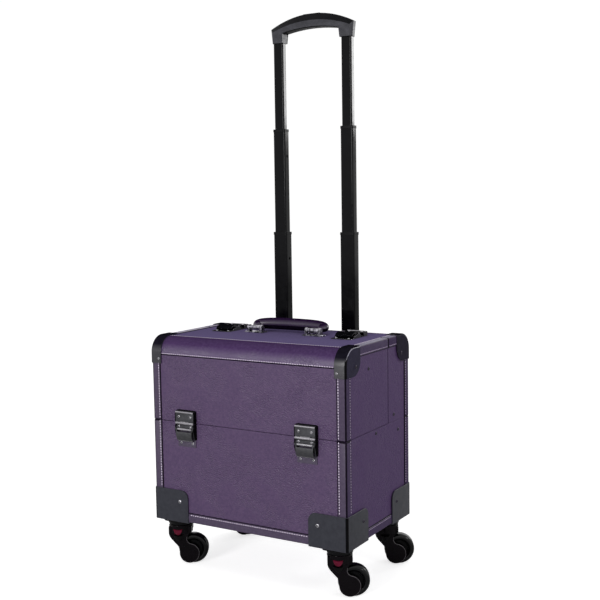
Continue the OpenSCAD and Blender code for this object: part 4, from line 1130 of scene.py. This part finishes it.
# %% [markdown]
# ## Padded carry grip
# The grip is foam over a steel core, wrapped in glossy leather that is sewn along the inside of the bow.
# Rings along a curve give its length and its bow, thinner towards the ends, where the leather tucks in. BOW
# holds the points that draw one half of that curve, from the middle of the bow to its end.
# %% Carry grip
PIN_Y, PIN_Z, REST = 14.0, TOP - STRIP_T + 9.0, math.radians(9)
GRIP_R, TAPER, TAPER_POWER, GRIP_END = 10.5, 0.52, 2.6, 0.97
RING_SIDES = 28
BOW = [(0, 31), (47.2, 31), (84, 27), (60, 11)]
SEAM_TUCK, SEAM_WIDTH = 0.05, 0.06
CREASE, CREASE_WAVES, CREASE_FROM = 0.012, 95, 0.45
TUCKED_END = ((0.6, 0.9), (0.88, 0.6))


def bow(t):
    s = 1 - t
    k = (s ** 3, 3 * s * s * t, 3 * s * t * t, t ** 3)
    return [sum(w * p[i] for w, p in zip(k, BOW)) for i in (0, 1)]


def grip_middle(u):
    x, y = bow(abs(u))
    return (x if u >= 0 else -x), y


def lean_back(x, y, z):
    return x, PIN_Y + y * math.cos(REST) - z * math.sin(REST), PIN_Z + y * math.sin(REST) + z * math.cos(REST)


def grip_ring(u):
    """A ring at u, from -1 to 1 along the bow, drawn in at the seam and creased towards the ends."""
    x, y = grip_middle(u)
    (x0, y0), (x1, y1) = grip_middle(u - 0.01), grip_middle(u + 0.01)
    t = math.atan2(y1 - y0, x1 - x0)
    r = GRIP_R * (1 - TAPER * abs(u) ** TAPER_POWER)
    wave = CREASE * (1 + math.cos(u * CREASE_WAVES)) * max(0.0, abs(u) - CREASE_FROM)
    ring = []
    for k in range(RING_SIDES):
        q = 2 * math.pi * k / RING_SIDES
        tuck = 1 - SEAM_TUCK * math.exp(-((math.cos(q) + 1) / SEAM_WIDTH) ** 2)
        drawn = tuck * (1 - wave * (1 - math.cos(q)))
        side = r * 1.1 * math.cos(q) * drawn
        ring.append(lean_back(x - math.sin(t) * side, y + math.cos(t) * side, r * math.sin(q) * drawn))
    return ring


def end_ring(u, scale, shift):
    """A ring drawn in towards the middle line and moved along it, for the tucked end."""
    ring = [Vector(p) for p in grip_ring(u)]
    middle = sum(ring, Vector()) / len(ring)
    out = Vector(lean_back(*grip_middle(u), 0)) - Vector(lean_back(*grip_middle(u * 0.99), 0))
    out.normalize()
    return [tuple(middle + (p - middle) * scale + out * shift) for p in ring]


grip_rings = [end_ring(-GRIP_END, *tuck) for tuck in TUCKED_END]
grip_rings += [grip_ring(i / 36 * GRIP_END) for i in range(-36, 37)]
grip_rings += [end_ring(GRIP_END, *tuck) for tuck in TUCKED_END[::-1]]
grip = make("padded_carry_grip", skin(grip_rings), grip_leather, "handle", "grip_leather", ["carry_grip"],
            smooth=60)
# Painted shade on the underside
further_finish(grip, grip_under_shade, lambda middle, normal: normal.z < -0.15)
print("carry grip, mm:", [round(1000 * v, 1) for v in grip.dimensions])

# %% [markdown]
# ## Pull handle
# Drawn aluminium tubes slide in each other, with a moulded collar at the top of each and a spring pin that
# locks it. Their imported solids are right, and copies of them get a small bevel.
# %% Pull tubes
for node in ("trolley_sleeves", "stage1_tubes", "stage2_tubes", "stage3_tubes"):
    eased_copy(node, tube_black, 0.15, steps=1, smooth=30)
for node in ("stage1_fittings", "stage2_fittings", "stage3_plugs", "sleeve_brackets"):
    eased_copy(node, collar_plastic, 0.4)

# %% [markdown]
# ## Pull grip
# The grip is one arch with two legs. It is moulded in grey PP, and its crown is covered with a darker soft
# TPE. Both slope back from the front face, so the form is a stack of outlines: each is the front view, drawn
# in by some amounts, at one depth.
# %% Pull grip
GRIP_LOW, GRIP_TOP = (1000 * v[2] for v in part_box("pull_grip"))
GRIP_MID_Y = 500 * (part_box("pull_grip")[0][1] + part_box("pull_grip")[1][1])
CORNER_X, FOOT_X, HAND_X = 84.5, 81.5, 58.5
CROWN, BAR, HAND_RISE = 21.0, 25.0, 6.0
DEPTH = 10.0
LAYERS = [(-1.0, 12.5, 6.5, 3.2, 1.3), (-0.97, 11.8, 6.0, 2.8, 0.5), (-0.9, 11.0, 5.5, 2.4, 0.1),
          (-0.6, 1.5, 1.2, 0.7, 0.0), (-0.5, 0.4, 0.3, 0.2, 0.0), (-0.38, 0.0, 0.0, 0.0, 0.0)]
LAYERS += [(-depth, *insets) for depth, *insets in LAYERS[::-1]]


def rise_arc(half, rise, steps):
    """Points along an arc over a chord of 2 * half, from left to right, with height 0 at its ends."""
    radius = (half ** 2 + rise ** 2) / (2 * rise)
    xs = [half * (2 * i / steps - 1) for i in range(steps + 1)]
    return [(x, math.sqrt(radius ** 2 - x ** 2) - radius + rise) for x in xs]


def grip_outline(crown_in, corner_in, foot_in, hand_in):
    """Front view, drawn in at the middle of the crown, at its corners, at the feet and round the hand."""
    def inset(x):
        return corner_in + (crown_in - corner_in) * (1 - (x / CORNER_X) ** 2)

    narrow = (CORNER_X - corner_in * 0.8) / CORNER_X
    over = [(x * narrow, GRIP_TOP - CROWN + z - inset(x)) for x, z in rise_arc(CORNER_X, CROWN, 32)]
    under_z = GRIP_TOP - BAR - HAND_RISE
    under = [(x, under_z + z + hand_in) for x, z in rise_arc(HAND_X - hand_in, HAND_RISE, 24)]
    left = [(-FOOT_X + foot_in, GRIP_LOW)]
    right_leg = [(FOOT_X - foot_in, GRIP_LOW), (HAND_X + hand_in, GRIP_LOW)]
    return left + over + right_leg + under[::-1] + [(-HAND_X - hand_in, GRIP_LOW)]


grip_layers = [[(x, GRIP_MID_Y + depth * DEPTH, z) for x, z in grip_outline(*insets)]
               for depth, *insets in LAYERS]
pull_grip = make("pull_grip_arch", skin(grip_layers), grip_plastic, "stage3", "grip_plastic", ["pull_grip"],
                 smooth=28)
print("pull grip, mm:", [round(1000 * v, 1) for v in pull_grip.dimensions])

# %% [markdown]
# ## Release button
# The button sinks into a slot in the crown, which is cut out of the grip with a little air round the button.
# The crown's soft cover takes the darker finish, and the underside takes it as a painted shade.
# %% Release button
BUTTON_W, BUTTON_D, SLOT_DEPTH, SLOT_GAP = 34.0, 9.0, 12.0, 0.3
SOFT_FROM = GRIP_TOP - CROWN - 14


def settle(obj):
    """Turns an object's modifiers into its own mesh."""
    bpy.context.view_layer.update()
    solid = obj.evaluated_get(bpy.context.evaluated_depsgraph_get())
    obj.data = bpy.data.meshes.new_from_object(solid)
    obj.modifiers.clear()


def cut_out(obj, form):
    """Cuts a form out of an object for good."""
    cutter = make("cutter", form, grip_dark, "stage3", "grip_plastic")
    boolean = obj.modifiers.new("slot", "BOOLEAN")
    boolean.object = cutter
    boolean.solver = "EXACT"
    settle(obj)
    bpy.data.objects.remove(cutter)


def is_soft_crown(middle, normal):
    return normal.z > 0.2 and middle.z > SOFT_FROM


slot_u, slot_v = BUTTON_W / 2 + SLOT_GAP, BUTTON_D / 2 + SLOT_GAP
cut_out(pull_grip, slab(rectangle(-slot_u, -slot_v, slot_u, slot_v), GRIP_TOP - SLOT_DEPTH, GRIP_TOP + 5,
                        lambda u, v, w: (u, GRIP_MID_Y + v, w)))
print("soft faces on the crown:", further_finish(pull_grip, grip_dark, is_soft_crown))
# Painted shade on the underside
further_finish(pull_grip, grip_dark, lambda middle, normal: normal.z < -0.3)
eased_copy("release_button", grip_dark, 0.8, steps=3)

# %% [markdown]
# ## Caster forks
# A caster is a square flange with a flared race, a moulded fork that turns under it, and a wheel. The fork
# has rounded edges with a painted highlight beside the wheel, and black elsewhere. Each fork's own frame,
# along its trail and across it, places what belongs to it.
# %% Caster forks
TAGS = ("fl", "fr", "bl", "br")
NECK_R, TRAIL, WHEEL_R, TYRE_W = 20.5, 22.0, 26.0, 20.0
CASTER_IN = 30
HEADING = math.radians(30)
RIM_TOP, RIM_FROM = 50, 6
eased_copy("caster_plates", collar_plastic, 0.6, steps=3)


def fork_frame(tag):
    """Turns (along the trail, across, up) into the place on the caster of that tag."""
    cx = (-1 if tag[1] == "l" else 1) * (HALF_W - CASTER_IN)
    cy = (-1 if tag[0] == "f" else 1) * (HALF_D - CASTER_IN)
    return lambda a, c, z: (cx + a * math.cos(HEADING) - c * math.sin(HEADING),
                            cy + a * math.sin(HEADING) + c * math.cos(HEADING), z)


for tag in TAGS:
    place = fork_frame(tag)
    fork = eased_copy("fork_" + tag, fork_plastic, 0.9, steps=3)
    highlight_edges(fork, fork_rim_highlight)
    fork.modifiers["eased edges"].use_clamp_overlap = False
    settle(fork)
    middle, ahead = Vector(place(0, 0, 0)), Vector(place(1, 0, 0)) - Vector(place(0, 0, 0))
    for face in fork.data.polygons:
        spot = face.center * 1000
        if spot.z > RIM_TOP or (spot - middle).dot(ahead) < RIM_FROM:
            face.material_index = 0
    print(fork.name, "painted highlight faces:", sum(face.material_index for face in fork.data.polygons))

# %% [markdown]
# ## Shields and inserts
# A small black shield is clipped to both sides of each fork's neck, and the two front casters have a clear
# crimson insert above it. Both are plates that wrap the round neck, with a bevelled rim.
# %% Shields and inserts
INSERT_MID = -3.5
BADGE_BEVEL = 0.14


def badge(outline, side, proud, place):
    """A plate that wraps the round neck and stands proud of it, with a bevelled rim."""
    def at(u, v, w):
        out = math.sqrt(max(1.0, NECK_R ** 2 - u ** 2)) + w
        return place(u, side * out, v)

    middle = [sum(p[i] for p in outline) / len(outline) for i in (0, 1)]
    inset = [[c + (m - c) * BADGE_BEVEL for c, m in zip(p, middle)] for p in outline]
    return skin([[at(u, v, -1.0) for u, v in outline], [at(u, v, proud * 0.6) for u, v in outline],
                 [at(u, v, proud) for u, v in inset]])


insert_outline = [(INSERT_MID + a, 63.6 + 0.9 * (a / 8) ** 2) for a in (8, 4, 0, -4, -8)]
insert_outline += [(a, 64 + 1.2 * (z - 64)) for a, z in arc((INSERT_MID, 64), 7.8, 190, 350, 12)]
shield_half = [(7.5, 53.4), (7.4, 51), (3.6, 46)]
shield_outline = [(INSERT_MID + a, z) for a, z in
                  [(0, 52.4)] + shield_half + [(0, 44.2)] + [(-a, z) for a, z in shield_half[::-1]]]
badges = [("crimson_insert_", insert_outline, 1.7, crimson_plastic, TAGS[:2]),
          ("neck_shield_", shield_outline, 1.3, shield_plastic, TAGS)]
for name, outline, proud, finish, tags in badges:
    for tag in tags:
        form = joined(*(badge(outline, s, proud, fork_frame(tag)) for s in (-1, 1)))
        make(name + tag, form, finish, "swivel_" + tag, "black_plastic", smooth=50)
    print(finish.name, "on casters:", len(tags))

# %% [markdown]
# ## Wheels
# A wheel is a polyurethane tyre cast round a nylon hub. Both are turned from a profile: the tyre has round
# shoulders and a groove where it meets the hub, and the hub has a raised rim and a dished web.
# %% Wheels
AXLE_R, HUB_R, SHOULDER_R = 3.1, 18.0, 5
axle = (-math.sin(HEADING), math.cos(HEADING), 0)


def wheel_profile(points):
    """Completes a profile of (radius, half width) with its mirror image."""
    return points + [(r, -w) for r, w in points[::-1]]


shoulder = arc((WHEEL_R - SHOULDER_R, TYRE_W / 2 - SHOULDER_R), SHOULDER_R, 90, 0, 8)
tyre_profile = wheel_profile([(HUB_R - 1, 7.5), (HUB_R, 9.2), (HUB_R + 0.8, 9.8)] + shoulder)
hub_profile = wheel_profile([(AXLE_R, 9), (7, 9), (7.8, 8.2), (9, 5.5), (14.5, 5), (15.6, 8.4), (17, 9),
                             (HUB_R - 0.9, 8.2)])
for tag in TAGS:
    centre = fork_frame(tag)(TRAIL, 0, WHEEL_R)
    tyre = make("tyre_tread_" + tag, spun(tyre_profile, centre, axle, 72), tyre_rubber, "wheel_" + tag,
                "tyre_rubber", ["tyre_" + tag], smooth=50)
    make("wheel_hub_" + tag, spun(hub_profile, centre, axle, 60), hub_plastic, "wheel_" + tag, "tyre_rubber",
         smooth=40)
print("wheel height, mm:", round(1000 * tyre.dimensions.z, 1))

# %% [markdown]
# ## Inside
# The linings are needle felt glued to the boards. The lift-out tray is thin board in leathercloth.
# %% Inside
for node in ("base_lining", "rear_lining", "lid_lining"):
    repaint(node, lining_felt)
eased_copy("lift_out_tray", tray_board, 0.5)
print("tray, mm:", [round(1000 * v) for v in nodes["lift_out_tray"].dimensions])

# %% [markdown]
# ## Floor and surround
# A pale floor and a white surround, as in a catalogue. The floor glows only for the camera, so it looks white
# and still takes shade. The surround fills the shaded side, and reflections see it brighter than it lights.
# %% Floor and surround
SEEN_GLOW, FILL, GLOSSY = 0.7, 0.4, 0.62
WHITE = (1, 1, 1, 1)


def seen_directly(holder):
    """The light path, and 1 for a ray from the camera or through clear matter, with 0 for others."""
    path = add_node(holder, "ShaderNodeLightPath")
    straight = add_node(holder, "ShaderNodeMath",
                        {0: path.outputs["Is Camera Ray"], 1: path.outputs["Is Transmission Ray"]},
                        operation="ADD")
    return path, straight.outputs[0]


floor_mesh = bpy.data.meshes.new("floor")
floor_mesh.from_pydata([(-6, -6, 0), (6, -6, 0), (6, 6, 0), (-6, 6, 0)], [], [[0, 1, 2, 3]])
floor = put_in_scene("floor", floor_mesh)
floor_paint, floor_shader = new_finish("white_studio_floor", "#e8e8e8", 0.9)
path, seen = seen_directly(floor_paint)
share = add_node(floor_paint, "ShaderNodeMath", {0: seen, 1: SEEN_GLOW}, operation="MULTIPLY")
glow = add_node(floor_paint, "ShaderNodeEmission", {"Color": WHITE, "Strength": share.outputs[0]})
both = add_node(floor_paint, "ShaderNodeAddShader", {0: floor_shader.outputs[0], 1: glow.outputs[0]})
link(floor_paint, both.outputs[0], floor_paint.node_tree.nodes["Material Output"], 0)
floor_mesh.materials.append(floor_paint)

surround = bpy.data.worlds.new("surround")
surround.use_nodes = True
bpy.context.scene.world = surround
path, seen = seen_directly(surround)
mirrored = add_node(surround, "ShaderNodeMath", {0: seen, 1: path.outputs["Is Glossy Ray"]}, operation="ADD")
strength = add_node(surround, "ShaderNodeMath", {0: mirrored.outputs[0], 1: GLOSSY, 2: FILL},
                    operation="MULTIPLY_ADD")
sky = surround.node_tree.nodes["Background"]
sky.inputs["Color"].default_value = WHITE
link(surround, strength.outputs[0], sky, "Strength")
print("surround as seen, and as light:", round(FILL + GLOSSY, 2), FILL)

# %% [markdown]
# ## Lamps
# A soft lamp stands far in front, not much above the lid, so it lights the front and grazes the top. A small
# one on the right draws light lines on round edges, and one behind on the right shows in the sides of the
# pull tubes.
# %% Lamps
def soft_lamp(name, at, towards, size, power):
    data = bpy.data.lights.new(name, "AREA")
    data.size = size
    data.energy = power
    lamp = put_in_scene(name, data)
    lamp.location = at
    lamp.rotation_euler = (Vector(towards) - Vector(at)).to_track_quat("-Z", "Y").to_euler()


soft_lamp("front_lamp", (-0.3, -3.5, 1.15), (0, 0, 0.3), 1.0, 60)
soft_lamp("rim_lamp", (2.2, -0.5, 1.2), (0, 0, 0.3), 0.25, 5)
soft_lamp("back_lamp", (1.31, 2.4, 1.2), (0, 0.1, 0.7), 0.5, 12)
print("lamps:", len(bpy.data.lights))
